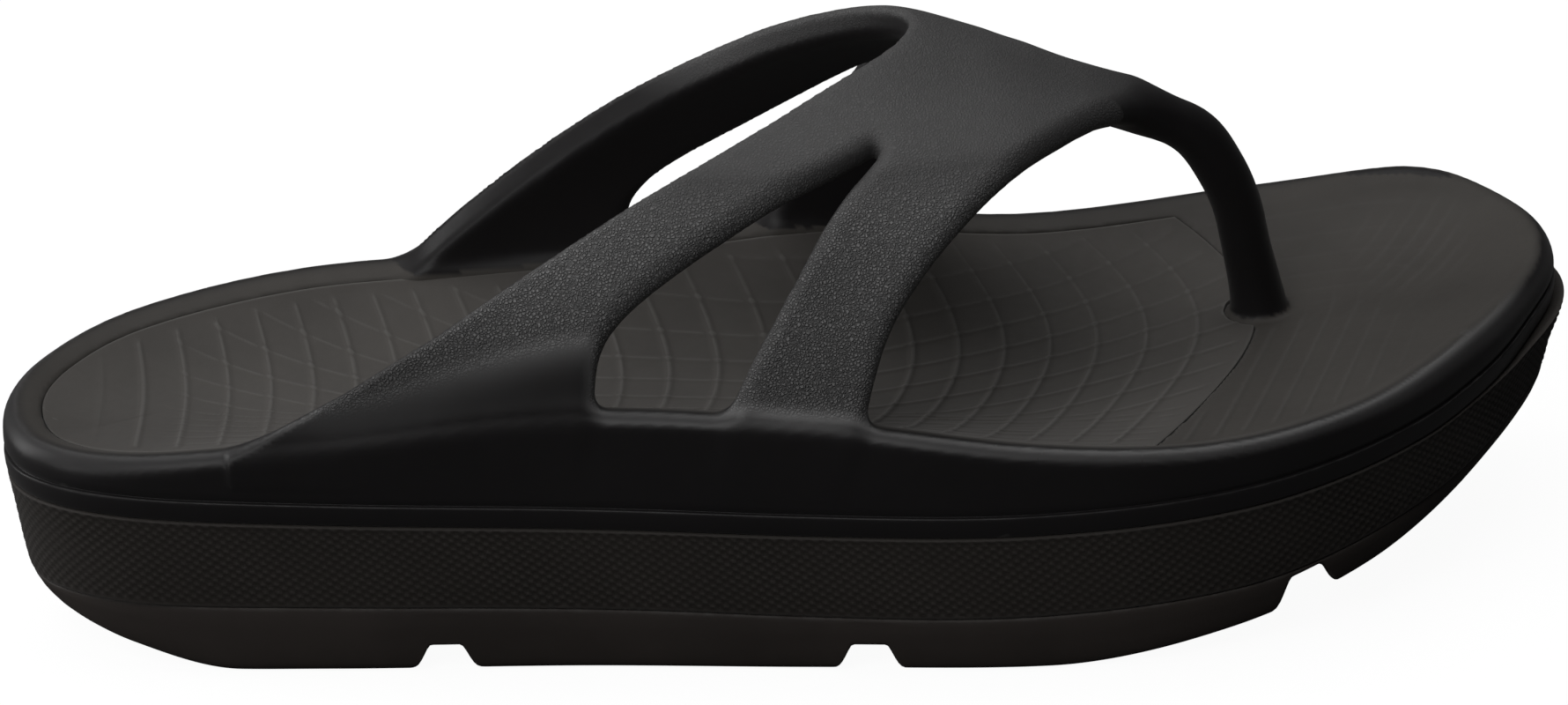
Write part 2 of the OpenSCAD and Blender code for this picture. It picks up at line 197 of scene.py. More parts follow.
def even_params(per_side):
    """Parameters spaced evenly along each side; j and count - j face each other."""
    out = []
    for first, last in ((0, 10), (10, 20)):
        at = np.linspace(first, last, 4001)
        xy = closed(STATIONS, at % LAP)[:, :2]
        run = np.cumsum(np.linalg.norm(np.diff(xy, axis=0), axis=1))
        run = np.concatenate([[0], run])
        out.append(np.interp(np.linspace(0, run[-1], per_side + 1)[:-1], run, at))
    return np.concatenate(out)


def slices(count, size=8192):
    """Consecutive slices over count items, to bound the memory of pairwise sums."""
    return [slice(k, k + size) for k in range(0, count, size)]


EDGE_AT = even_params(900)
EDGE_XY = closed(STATIONS, EDGE_AT % LAP)[:, :2]


def nearest(xy):
    """Inset (positive inside) and outline parameter of the nearest outline point."""
    xy = np.asarray(xy, float).reshape(-1, 2)
    count = len(EDGE_XY)
    stride = 12
    coarse = EDGE_XY[::stride]
    coarse_sq = (coarse ** 2).sum(1)
    window = np.arange(-stride - 1, stride + 2)
    closest = np.empty(len(xy), int)
    for part in slices(len(xy), size=16384):
        q = xy[part]
        rough = np.argmin(coarse_sq[None] - 2 * q @ coarse.T, axis=1) * stride
        j = (rough[:, None] + window[None]) % count
        apart = ((EDGE_XY[j] - q[:, None]) ** 2).sum(-1)
        closest[part] = j[np.arange(len(q)), np.argmin(apart, axis=1)]
    best = np.full(len(xy), 1e9)
    inset = np.zeros(len(xy))
    at = np.zeros(len(xy))
    for offset in (-1, 0):
        i = (closest + offset) % count
        j = (i + 1) % count
        start, run = EDGE_XY[i], EDGE_XY[j] - EDGE_XY[i]
        f = np.clip(((xy - start) * run).sum(1) / (run ** 2).sum(1), 0, 1)
        away = xy - (start + run * f[:, None])
        dist = np.linalg.norm(away, axis=1)
        cross = run[:, 0] * away[:, 1] - run[:, 1] * away[:, 0]
        better = dist < best - 1e-9
        at_i, at_j = EDGE_AT[i], EDGE_AT[j].copy()
        at_j[at_j < at_i] += LAP
        best[better] = dist[better]
        inset[better] = (np.sign(cross) * dist)[better]
        at[better] = (at_i + (at_j - at_i) * f)[better] % LAP
    return inset, at


OUTER_XY = closed(STATIONS, np.linspace(0.6, 9.6, 400))[:, :2]
INNER_XY = closed(STATIONS, np.linspace(19.6, 10.6, 400))[:, :2]


def half_width(x):
    outer = np.interp(x, OUTER_XY[:, 0], OUTER_XY[:, 1])
    inner = np.interp(x, INNER_XY[:, 0], INNER_XY[:, 1])
    return (inner - outer) / 2


def top_height(xy, inset, at):
    """Height of the lip, the footbed and the toe platform at plan points."""
    x = xy[:, 0]
    dish_start = 6.9
    crest = closed(STATIONS, at)[:, 2]
    lip = crest - PANEL_DROP * np.clip((inset - 2.4) / 4.5, 0, 3) ** 1.3
    reach = np.maximum(half_width(np.clip(x, -112, 112)) - dish_start, 24)
    rise = np.clip(1 - (inset - dish_start) / reach, 0, 1) ** 2.6
    lowest = DISH(x)
    dish = lowest + (crest - PANEL_DROP - lowest) * rise
    blend = smooth(6.2, 7.6, inset)
    return lip * (1 - blend) + dish * blend


def bow(row):
    """How far forward a row bulges at mid-foot, greatest at the seam."""
    to_seam = (np.clip(row, 0, TOE_ROW) / SEAM_ROW) ** 2
    to_toe = (np.clip(TOE_ROW - row, 0, TOE_ROW) / (TOE_ROW - SEAM_ROW)) ** 0.8
    return 14.0 * np.where(row <= SEAM_ROW, to_seam, to_toe)


def row_point(row, across, inset):
    """Plan point on a row, at across -1 (outer) to 1 (inner)."""
    row, v = np.broadcast_arrays(np.asarray(row, float), np.asarray(across, float))
    at = row * LAP / (2 * TOE_ROW)
    outer = outline(at, inset)[0]
    inner = outline(LAP - at, inset)[0]
    x = (outer[..., 0] * (1 - v) / 2 + inner[..., 0] * (1 + v) / 2
         + bow(row) * (1 - v * v) * (1 + 0.6 * v))
    y = outer[..., 1] * (1 - v) / 2 + inner[..., 1] * (1 + v) / 2
    return np.stack([x, y], -1)


def panel_distance(xy, inset, edge):
    """Plan distance, negative inside, to the panel bounded by an inset edge and the seam."""
    v = np.linspace(-1.15, 1.15, 200)
    within = np.clip(v, -1, 1)
    seam = row_point(float(SEAM_ROW), within, edge)
    seam = seam + (v - within)[:, None] * (seam[-1] - seam[0])[None] / 2
    seam_x = np.interp(xy[:, 1], seam[:, 1], seam[:, 0])
    slope = np.gradient(seam[:, 0], seam[:, 1])
    square = 1 / np.sqrt(1 + np.interp(xy[:, 1], seam[:, 1], slope) ** 2)
    return np.maximum(edge - inset, (xy[:, 0] - seam_x) * square)


# ---- mesh helpers --------------------------------------------------------------------------
def link_object(name, mesh):
    ob = bpy.data.objects.new(name, mesh)
    bpy.context.scene.collection.objects.link(ob)
    return ob


def make_object(name, verts, faces):
    """Object from vertices in millimetres."""
    mesh = bpy.data.meshes.new(name)
    mesh.from_pydata(to_metres(verts).tolist(), [], faces)
    mesh.validate()
    mesh.update()
    return link_object(name, mesh)


def split_ngons(bm):
    bmesh.ops.triangulate(bm, faces=[f for f in bm.faces if len(f.verts) > 4])


def clean(ob, merge=False):
    """Split faces of more than four corners and turn all faces outwards."""
    bm = bmesh.new()
    bm.from_mesh(ob.data)
    if merge:
        bmesh.ops.remove_doubles(bm, verts=bm.verts[:], dist=1e-7)
    split_ngons(bm)
    bmesh.ops.recalc_face_normals(bm, faces=bm.faces[:])
    bm.to_mesh(ob.data)
    bm.free()


def shade(ob, angle):
    """Smooth shading, with edges sharper than angle degrees kept crisp."""
    ob.data.shade_smooth()
    bm = bmesh.new()
    bm.from_mesh(ob.data)
    for e in bm.edges:
        if len(e.link_faces) == 2 and e.calc_face_angle(0) > math.radians(angle):
            e.smooth = False
    bm.to_mesh(ob.data)
    bm.free()


def subtract(ob, cutter):
    """Cut the cutter out of the object and delete it."""
    cut = ob.modifiers.new("cut", "BOOLEAN")
    cut.operation = "DIFFERENCE"
    cut.object = cutter
    cut.solver = "MANIFOLD"
    depsgraph = bpy.context.evaluated_depsgraph_get()
    mesh = bpy.data.meshes.new_from_object(ob.evaluated_get(depsgraph))
    ob.modifiers.remove(cut)
    old = ob.data
    ob.data = mesh
    bpy.data.meshes.remove(old)
    cutter_mesh = cutter.data
    bpy.data.objects.remove(cutter)
    bpy.data.meshes.remove(cutter_mesh)


# the post's root stands square to the parting line's slope
ROOT_RISE = float(PARTING(ROOT_XY[0] + 0.5) - PARTING(ROOT_XY[0] - 0.5))
ROOT_FRAME = (Matrix.Translation((ROOT_XY[0], ROOT_XY[1], float(PARTING(ROOT_XY[0]))))
              @ Matrix.Rotation(-math.atan(ROOT_RISE), 4, "Y"))


def lathe(profile, count):
    """Vertices and faces of an (r, z) profile turned about the post root's axis."""
    radius, z = np.array(profile, float).T
    size = len(radius)
    angle = np.linspace(0, 2 * math.pi, count, endpoint=False)
    verts = np.stack([np.outer(np.cos(angle), radius), np.outer(np.sin(angle), radius),
                      np.broadcast_to(z, (count, size))], -1).reshape(-1, 3)
    faces = []
    for i in range(count):
        k = (i + 1) % count
        for j in range(size - 1):
            faces.append((i * size + j, k * size + j, k * size + j + 1, i * size + j + 1))
    verts = np.hstack([verts, np.ones((len(verts), 1))])
    return (verts @ np.array(ROOT_FRAME).T)[:, :3], faces


def wall_faces(levels, count):
    """Quads between stacked closed rings."""
    ids = np.arange(levels * count).reshape(levels, count)
    low, high = ids[:-1], ids[1:]
    quads = [low, np.roll(low, -1, 1), np.roll(high, -1, 1), high]
    return np.stack(quads, -1).reshape(-1, 4).tolist()


def cap_faces(base, count, flip):
    """Strips across a ring of even_params points that starts at vertex base."""
    half = count // 2
    faces = [(base, base + count - 1, base + 1),
             (base + half - 1, base + half + 1, base + half)]
    faces += [(base + i, base + count - i, base + count - i - 1, base + i + 1)
              for i in range(1, half - 1)]
    return [face[::-1] for face in faces] if flip else faces


def ridge(phase, pitch, width):
    """1 on lines at whole phases, 0 between; pitch and width in mm."""
    dist = np.abs(phase - np.round(phase)) * pitch
    return np.exp(-(dist / (width * 0.5)) ** 2)


# ---- upper: distance fields on a voxel grid ------------------------------------------------
VOXEL = 0.72
GRID_X = np.arange(-139.2, 139.8, VOXEL)
GRID_Y = np.arange(-57.6, 52.2, VOXEL)
GRID_Z = np.arange(1.2, 74.4, VOXEL)      # height above the parting line
FAR = 9.0                                 # field value well outside a piece
AXIS_Z = 30.0    # the strap's dome is described round a line along x at this height
ARC = 48.0       # mm of arc coordinate per radian round that line
DOME_STEP = 0.8
DOME_X = np.arange(-104, 92, DOME_STEP)
DOME_ARC = np.arange(4, 148, DOME_STEP)   # outer side low, top near 75, inner side high


def rounded_max(a, b, radius):
    u, v = np.maximum(a + radius, 0), np.maximum(b + radius, 0)
    return np.minimum(np.maximum(a, b), -radius) + np.sqrt(u * u + v * v)


def smooth_min(a, b, reach):
    h = np.maximum(reach - np.abs(a - b), 0) / reach
    return np.minimum(a, b) - h * h * reach * 0.25


def polar(points):
    """x, arc coordinate and radius round the dome's axis."""
    dz = points[..., 2] - AXIS_Z
    arc = np.arctan2(dz, -points[..., 1]) * ARC
    return points[..., 0], arc, np.hypot(points[..., 1], dz)


def band_edges(back, front):
    """The two edges of a band, with the legs' feet a little inside the rim's crest."""
    u = np.linspace(0, 8, 97)
    edges = opened(back, u), opened(front, u)
    for e in edges:
        inset, at = nearest(e[:, :2])
        foot = 1 - smooth(44, 56, e[:, 2])
        e[:, :2] -= outline(at)[1] * ((np.maximum(inset, 3.5) - inset) * foot)[:, None]
    return edges


def thin_plate(a, b):
    square = ((a[:, None] - b[None]) ** 2).sum(-1)
    return 0.5 * square * np.log(np.maximum(square, 1e-9))


def line_distance(path, points):
    """Signed distance to an open polyline carried on straight past both ends."""
    first, last = path[0] - path[1], path[-1] - path[-2]
    path = np.vstack([path[0] + first / np.linalg.norm(first) * 40, path,
                      path[-1] + last / np.linalg.norm(last) * 40])
    start, run = path[:-1], np.diff(path, axis=0)
    run_sq = (run ** 2).sum(1)
    out = np.empty(len(points))
    for part in slices(len(points)):
        q = points[part]
        rx, ry = q[:, None, 0] - start[None, :, 0], q[:, None, 1] - start[None, :, 1]
        f = np.clip((rx * run[:, 0] + ry * run[:, 1]) / run_sq, 0, 1)
        ex, ey = rx - f * run[:, 0], ry - f * run[:, 1]
        square = ex * ex + ey * ey
        j = np.argmin(square, axis=1)
        i = np.arange(len(q))
        cross = run[j, 0] * ey[i, j] - run[j, 1] * ex[i, j]
        out[part] = np.sign(cross) * np.sqrt(square[i, j])
    return out


def dome_radius(bands, nodes, dome_x, dome_arc):
    """Radius table of the sheet midway through the strap, fitted to the bands' edges."""
    data = [(back * (1 - w) + front * w)[::3]
            for back, front in bands for w in (0, 0.33, 0.67, 1)]
    x, arc, radius = polar(np.vstack(data))
    known = np.stack([x, arc], -1)
    n = len(known)
    softness = 150.0
    system = np.zeros((n + 3, n + 3))
    system[:n, :n] = thin_plate(known, known) + softness * np.eye(n)
    system[:n, n] = system[n, :n] = 1
    system[:n, n + 1:] = known
    system[n + 1:, :n] = known.T
    weights = np.linalg.solve(system, np.concatenate([radius, np.zeros(3)]))
    sheet = np.empty(len(nodes))
    for part in slices(len(nodes)):
        q = nodes[part]
        sheet[part] = thin_plate(q, known) @ weights[:n] + weights[n] + q @ weights[n + 1:]
    sheet = sheet.reshape(dome_x.shape)
    # fuller over the inner rear leg, a little flatter where the yoke runs out into the post
    sheet += (0.75 * smooth(74, 92, dome_arc) * smooth(134, 112, dome_arc)
              * smooth(38, 18, dome_x) - 1.0 * smooth(34, 50, dome_x))
    sheet -= 0.35 * bell(dome_arc, 37, 9) + 0.4 * bell(dome_arc, 115, 9)
    sheet += 1.1 * np.exp(-((dome_x - 15) / 17) ** 2 - ((dome_arc - 85) / 11) ** 2)
    return sheet


def band_distances(bands, nodes, shape):
    """Distance tables to the four band edges, brought in by half the strap's thickness."""
    dist = []
    for back, front in bands:
        over = front - back
        over /= np.linalg.norm(over, axis=1, keepdims=True)
        middle = np.stack(polar((back + front) / 2)[:2], -1)
        for edge, side in ((back, -1), (front, 1)):
            path = np.stack(polar(edge + over * (STRAP_THICK / 2) * side)[:2], -1)
            d = line_distance(path, nodes)
            if np.median(line_distance(path, middle)) > 0:
                d = -d
            dist.append(d.reshape(shape))
    return dist


def window_distance(gap, nodes):
    """Distance table to the windows between the bands, exact all round, tips rounded."""
    tip = 0.5
    gap = gap - tip
    border = []
    for along_x in (True, False):
        g0, g1 = (gap[:-1], gap[1:]) if along_x else (gap[:, :-1], gap[:, 1:])
        i, j = np.nonzero((g0 > 0) != (g1 > 0))
        step = g0[i, j] / (g0[i, j] - g1[i, j]) * DOME_STEP
        border.append(np.stack([DOME_X[i] + (step if along_x else 0),
                                DOME_ARC[j] + (0 if along_x else step)], -1))
    border = np.vstack(border)
    dist = np.empty(len(nodes))
    for part in slices(len(nodes)):
        q = nodes[part]
        square = (q ** 2).sum(1)[:, None] - 2 * q @ border.T + (border ** 2).sum(1)[None]
        dist[part] = np.sqrt(np.maximum(square.min(1), 0))
    dist = dist.reshape(gap.shape)
    return np.where(gap > 0, tip + dist, tip - dist)


def lookup(table, x, arc):
    """Bilinear lookup in a table over DOME_X and DOME_ARC."""
    i = np.clip((x - DOME_X[0]) / (DOME_X[1] - DOME_X[0]), 0, len(DOME_X) - 1.001)
    j = np.clip((arc - DOME_ARC[0]) / (DOME_ARC[1] - DOME_ARC[0]), 0, len(DOME_ARC) - 1.001)
    i0, j0 = i.astype(np.int32), j.astype(np.int32)
    fi, fj = (i - i0).astype(np.float32), (j - j0).astype(np.float32)
    t = table.astype(np.float32)
    return ((t[i0, j0] * (1 - fi) + t[i0 + 1, j0] * fi) * (1 - fj)
            + (t[i0, j0 + 1] * (1 - fi) + t[i0 + 1, j0 + 1] * fi) * fj)


def strap_shell(points):
    """Distance to the strap: a dome sheet trimmed to four legs and the yoke, edges rounded."""
    bands = (band_edges(REAR_BAND_BACK, REAR_BAND_FRONT),
             band_edges(FRONT_BAND_BACK, FRONT_BAND_FRONT))
    dome_x, dome_arc = np.meshgrid(DOME_X, DOME_ARC, indexing="ij")
    nodes = np.stack([dome_x.ravel(), dome_arc.ravel()], -1)
    sheet = dome_radius(bands, nodes, dome_x, dome_arc)
    by_x, by_arc = np.gradient(sheet, DOME_STEP)
    slope = 1 / np.sqrt(1 + by_x ** 2 + (by_arc * ARC / np.maximum(sheet, 20)) ** 2)
    rear_back, rear_front, front_back, front_front = band_distances(bands, nodes, sheet.shape)
    # windows lie past the rear band's front edge and behind the front band's back edge
    gap = np.minimum(rear_front - 1.6 * smooth(88, 104, dome_arc),
                     front_back + np.interp(dome_arc, [12, 20, 32, 38], [-3.5, -3.0, -0.5, 0]))
    # the rear legs spread at the rim, and the rear arch is blunt at its top
    rear_edge = rear_back + np.interp(
        dome_arc, [14, 20, 28, 36, 45, 58, 66, 72, 77, 84, 92, 110],
        [-7.5, -5.5, -1.8, 0, 0.3, 0.6, 1.2, 2.0, 2.2, 1.2, 0, -0.5])
    front_edge = front_front - np.interp(
        dome_arc, [20, 35, 50, 60, 69, 76, 82, 90, 100],
        [0, 0.6, 0.45, 0.1, -0.4, 0.7, 0.6, 0.3, 0])
    edge = np.maximum(np.maximum(rear_edge, front_edge), window_distance(gap, nodes))
    # crisp along the rear edge, well rounded in the windows and along the front arch
    rounding = 1.3 + 1.3 * smooth(2.0, 7.0, np.abs(rear_back))
    half = np.full(sheet.shape, STRAP_THICK / 2 - 0.1)
    x, arc, radius = polar(points)
    slab = (np.abs(radius - lookup(sheet, x, arc)) * lookup(slope, x, arc)
            - lookup(half, x, arc))
    return rounded_max(slab.astype(np.float32), lookup(edge, x, arc), lookup(rounding, x, arc))


def toe_inset(x):
    return 1.2 * smooth(118, 132, x)


def body_field(height):
    """Rim, sidewall and toe platform, with the footbed's recess taken out."""
    grid_x, grid_y = np.meshgrid(GRID_X, GRID_Y, indexing="ij")
    xy = np.stack([grid_x.ravel(), grid_y.ravel()], -1)
    x, y = xy.T
    inset, at = nearest(xy)
    top = top_height(xy, inset, at) + 0.5 * smooth(-5, 15, y) * smooth(7, 3, inset)
    top = top + 0.6 * smooth(92, 116, x) * smooth(9, 4, inset)
    recess = panel_distance(xy, inset, PANEL_INSET - GAP)
    recess = np.maximum(recess, NOTCH_R - np.linalg.norm(xy - ROOT_XY, axis=1))
    inset, top, parting, recess = (a.reshape(grid_x.shape).astype(np.float32)
                                   for a in (inset, top, PARTING(x), recess))
    by_x, by_y = np.gradient(top, VOXEL)
    upright = 1 / np.sqrt(1 + np.clip(by_x, -1, 1) ** 2 + np.clip(by_y, -1, 1) ** 2)
    above_top = ((height + parting[..., None]) - top[..., None]) * upright[..., None]
    flare = 0.12 * np.exp(-np.maximum(height - 5, 0) / 2.0)
    # the wall leans inwards at the toe, and a little at the heel
    lean = 1.5 * smooth(110, 132, GRID_X) + 0.8 * smooth(-108, -130, GRID_X)
    outside_wall = (flare + lean[:, None, None] * smooth(4.6, 16, height)
                    + toe_inset(GRID_X)[:, None, None] - inset[..., None])
    # the lip is rounder at both ends
    ends = 0.7 * smooth(-88, -122, x) + 2.6 * smooth(84, 118, x)
    rounding = (2.9 + ends.reshape(grid_x.shape)[..., None]).astype(np.float32)
    body = rounded_max(outside_wall, above_top, rounding)
    body = rounded_max(body, -recess[..., None], np.float32(0.25))
    return body.astype(np.float32)


def grid_slice(nodes, low, high):
    return slice(int((low - nodes[0]) / VOXEL), int((high - nodes[0]) / VOXEL))


def strap_field(shape):
    """The strap's field, worked out only where the strap can reach."""
    part_x = grid_slice(GRID_X, -96, 84)
    part_z = slice(int((7 - GRID_Z[0]) / VOXEL), len(GRID_Z))
    x, y, z = np.meshgrid(GRID_X[part_x], GRID_Y, GRID_Z[part_z], indexing="ij")
    z = z + PARTING(GRID_X[part_x])[:, None, None]
    field = np.full(shape, FAR, np.float32)
    field[part_x, :, part_z] = strap_shell(np.stack([x, y, z], -1))
    return field


def post_field(shape):
    """Toe post: a chain of spheres along its centre line."""
    chain = opened(POST, np.linspace(0, len(POST) - 1, 90))
    radius = chain[:, 3] * POST_WIDTH / 2
    part_x, part_y = grid_slice(GRID_X, 32, 98), grid_slice(GRID_Y, -12, 30)
    points = np.stack(np.meshgrid(GRID_X[part_x], GRID_Y[part_y], GRID_Z, indexing="ij"), -1)
    points = points.astype(np.float32)
    points[..., 2] += PARTING(GRID_X[part_x])[:, None, None]
    near = np.full(points.shape[:3], FAR, np.float32)
    for j in range(len(chain)):
        away = points - np.array(chain[j, :3], np.float32)
        near = np.minimum(near, np.sqrt((away * away).sum(-1)) - np.float32(radius[j]))
    field = np.full(shape, FAR, np.float32)
    field[part_x, part_y] = near
    return field


def upper_surface():
    """Points (z above the parting line) and quads of the whole moulding's surface."""
    height = GRID_Z.astype(np.float32)[None, None]
    body = body_field(height)
    strap = strap_field(body.shape)
    post = post_field(body.shape)
    # a soft fillet under the yoke, a tight one on the toe platform
    rim_fillet = np.float32(3.2)
    yoke_fillet = (1.4 + 6.0 * smooth(22, 34, height)).astype(np.float32)
    high = smooth_min(body, smooth_min(strap, post, yoke_fillet), rim_fillet)
    low = smooth_min(smooth_min(body, strap, rim_fillet), post, np.float32(1.4))
    blend = smooth(16, 24, height).astype(np.float32)
    limit = 3.0
    field = np.clip(low * (1 - blend) + high * blend, -limit, limit).astype(np.float32)
    grid = openvdb.FloatGrid(limit)
    grid.copyFromArray(field)
    points, quads = grid.convertToQuads(0.0)
    points = np.asarray(points, float) * VOXEL + [GRID_X[0], GRID_Y[0], GRID_Z[0]]
    return points, np.asarray(quads, int)


# ---- upper: mesh ---------------------------------------------------------------------------
# Sidewall below the voxel surface, down past the crease: height over the parting line, inset.
WALL_PROFILE = [
    (5.1, 0.17), (4.78, 0.27), (4.52, 0.41), (4.32, 0.55), (4.17, 0.66), (4.05, 0.68),
    (3.98, 0.6), (3.95, 0.42), (3.92, 0.28), (3.84, 0.14), (3.68, 0.06), (3.3, 0.03),
    (2.6, 0.06), (1.8, 0.12), (1.1, 0.24), (0.7, 0.36), (0.38, 0.52), (0.16, 0.72),
    (0.05, 0.95)]
# Tail and head of the post's root, below the floor: r, z.
ROOT_PROFILE = [
    (0, 1.3), (4.2, 1.3), (4.7, 0.9), (4.8, 0.4), (4.8, -2.55), (5.0, -2.6), (7.2, -2.6),
    (7.45, -2.75), (7.5, -3.0), (7.5, -3.9), (7.3, -4.3), (6.7, -4.55), (0, -4.6)]


def cut_faces(bm, faces, place, normal, tolerance):
    """Split faces along a plane and return the pieces."""
    verts = {v for f in faces for v in f.verts}
    edges = {e for f in faces for e in f.edges}
    result = bmesh.ops.bisect_plane(bm, geom=list(verts) + list(edges) + faces,
                                    dist=tolerance, plane_co=place, plane_no=normal)
    return [g for g in result["geom"] if isinstance(g, bmesh.types.BMFace)]


def trimmed_shell():
    """The voxel surface without its bottom, the lowest part of its wall and the recess floor."""
    points, quads = upper_surface()
    mesh = bpy.data.meshes.new("tmp")
    mesh.from_pydata(points.tolist(), [], quads.tolist())
    bm = bmesh.new()
    bm.from_mesh(mesh)
    bpy.data.meshes.remove(mesh)
    bm.verts.ensure_lookup_table()
    layer = bm.verts.layers.float.new("s")      # inset; stays on the mesh as an attribute
    for vert, inset in zip(bm.verts, nearest(points[:, :2])[0]):
        vert[layer] = inset
    divide = 3.6                                # inset between the wall and the recess
    wall_cut, floor_cut = 5.6, FLOOR - GAP * 0.5

    def on_wall(face):
        return max(v[layer] for v in face.verts) < divide

    def on_floor(face):
        return min(v[layer] for v in face.verts) > divide

    def below(face, cut):
        return all(v.co.z < cut + 1e-3 for v in face.verts)

    for chosen, cut in ((on_wall, wall_cut), (on_floor, floor_cut)):
        faces = [f for f in bm.faces if chosen(f) and min(v.co.z for v in f.verts) < cut + 1
                 and max(v.co.z for v in f.verts) > cut - 1]
        cut_faces(bm, faces, place=(0, 0, cut), normal=(0, 0, 1), tolerance=1e-4)
    unwanted = [f for f in bm.faces
                if (below(f, wall_cut) and on_wall(f)) or below(f, floor_cut)]
    bmesh.ops.delete(bm, geom=unwanted, context="FACES")
    loose = [v for v in bm.verts if not v.link_faces]
    bmesh.ops.delete(bm, geom=loose, context="VERTS")
    return bm


def open_loops(bm):
    """Vertices round each hole, shortest loop first."""
    following = {}
    for edge in bm.edges:
        if len(edge.link_faces) == 1:
            corner = edge.link_loops[0]
            following[corner.link_loop_next.vert] = corner.vert
    loops = []
    while following:
        loop, vert = [], next(iter(following))
        while vert in following:
            loop.append(vert)
            vert = following.pop(vert)
        loops.append(loop)
    return sorted(loops, key=len)


def add_wall(bm, loop):
    """Sidewall, crease and raised band below the cut; returns the lowest ring."""
    xy = np.array([(v.co.x, v.co.y) for v in loop])
    at = nearest(xy)[1]
    count = len(loop)
    for z, inset in WALL_PROFILE:
        ring_xy = outline(at, inset + toe_inset(xy[:, 0]))[0]
        ring = [bm.verts.new((x, y, z)) for x, y in ring_xy]
        for i in range(count):
            j = (i + 1) % count
            bm.faces.new((loop[i], loop[j], ring[j], ring[i]))
        loop = ring
    return loop


def cap(bm, loop):
    """Close a loop with a face cut into strips across the foot, so that it can bend."""
    faces = [bm.faces.new(loop)]
    for x in np.arange(-132, 134, 6.0):
        pieces = cut_faces(bm, faces, place=(float(x), 0, 0), normal=(1, 0, 0), tolerance=1e-5)
        faces = [f for f in pieces if max(v.co.x for v in f.verts) > x + 1e-4]
        if not faces:
            break


def true_points(bm):
    """Vertices with z measured from the ground."""
    points = np.array([v.co[:] for v in bm.verts])
    points[:, 2] += PARTING(points[:, 0])
    return points


def survey(points):
    """Inset, outline parameter, top height, distance past the panel and from the post's root."""
    xy = points[:, :2]
    inset, at = nearest(xy)
    return (inset, at, top_height(xy, inset, at),
            panel_distance(xy, inset, PANEL_INSET - GAP),
            np.linalg.norm(xy - ROOT_XY, axis=1))


def refine_platform(bm):
    """Finer faces on the toe platform, for its raised lines."""
    bm.verts.ensure_lookup_table()
    points = true_points(bm)
    inset, _, top, past_panel, from_root = survey(points)
    on = ((np.abs(points[:, 2] - top) < 0.4) & (inset > 5.5) & (past_panel > 0.8)
          & (points[:, 0] > 50) & (from_root > 6.5))
    fine = [f for f in bm.faces if all(on[v.index] for v in f.verts) and len(f.verts) == 4]
    edges = {e for f in fine for e in f.edges}
    bmesh.ops.subdivide_edges(bm, edges=list(edges), cuts=1, use_grid_fill=True)
    split_ngons(bm)


def add_post_root(bm):
    points, faces = lathe(ROOT_PROFILE, 48)
    points[:, 2] -= PARTING(points[:, 0])
    verts = [bm.verts.new(p) for p in points]
    for face in faces:
        bm.faces.new([verts[i] for i in face])
    bmesh.ops.remove_doubles(bm, verts=verts, dist=1e-4)


def toe_lines(xy, inset):
    """Slanting lines over the outer half of the platform, finer ones towards the tip."""
    x, y = xy[:, 0], xy[:, 1]
    slant = (x - 0.36 * y + 0.011 * np.maximum(y - 6, 0) ** 2) / 4.6
    outer = smooth(20, 2, y) * smooth(112, 92, x)
    tip = smooth(4, 14, y) * smooth(36, 26, y) * smooth(98, 106, x) * smooth(123, 116, x)
    diagonal = (0.763 * x - 0.645 * y) / 3.3
    return (0.22 * ridge(slant, 4.6, 0.7) * outer + 0.17 * ridge(diagonal, 3.3, 0.8) * tip
            + 0.06 * ridge(inset / 5.2, 5.2, 0.8) * smooth(-10, 10, y) * smooth(125, 105, x))


def paint_upper(mesh, points, inset, at, top, lines):
    """Vertex attributes: where light is painted on (pale legs, pale yoke top, crest highlight),
    lined, grained, strap, top and wall.
    """
    normal = np.empty(len(points) * 3)
    mesh.vertices.foreach_get("normal", normal)
    normal = normal.reshape(-1, 3)
    x, y, z = points.T
    _, outward, crest = outline(at)
    facing_out = smooth(0.05, 0.35, (normal[:, :2] * outward).sum(1))
    height = z - (crest - 1.5)
    off_post = 1 - smooth(44, 74, x) * smooth(18, 9, np.abs(y - 8))
    yoke = smooth(76, 86, z)
    yoke_top = yoke * smooth(0.0, 0.5, normal[:, 2])
    # painted light: the legs' outward faces are painted pale, and half as pale towards the heel
    # as painted shade
    legs = (smooth(-0.2, 2.5, height) * facing_out * smooth(0.5, 1.6, inset)
            * (0.5 + 0.5 * smooth(-78, -40, x)))
    # the up-facing top of the yoke gets painted light as well; the post gets none
    painted_light = np.maximum(legs * (1 - 0.75 * yoke), 0.47 * yoke_top) * off_post
    # painted highlight: the rim's crest is painted a little paler on its rounded, upward-sloping
    # edge, less so at the toe and heel
    painted_crest_highlight = (smooth(3.4, 1.6, inset) * smooth(0.25, 0.6, normal[:, 2])
            * smooth(0.98, 0.85, normal[:, 2]) * (np.abs(z - crest) < 3))
    painted_light = np.maximum(painted_light, 0.3 * painted_crest_highlight * (1 - 0.55 * smooth(50, 105, x))
                      * (1 - 0.5 * smooth(-60, -100, x)))
    grain = smooth(0.8, 5.0, height) * facing_out * smooth(1.0, 2.2, inset)
    grain = np.maximum(grain * (1 - 0.75 * yoke), 0.3 * yoke_top) * off_post
    attributes = {
        "painted_light": np.clip(painted_light, 0, 1),
        "lines": np.clip(lines, 0, 1),
        "grain": np.clip(grain, 0, 1),
        "strap": smooth(1.0, 3.0, height) * smooth(1.2, 2.4, inset),
        "top": ((np.abs(z - top) < 0.6) & (inset > 2)) * smooth(2.0, 5.0, inset),
        "wall": 1 - smooth(0.8, 2.4, inset)}
    for name, values in attributes.items():
        attribute = mesh.attributes.new(name, "FLOAT", "POINT")
        attribute.data.foreach_set("value", np.asarray(values, np.float32))


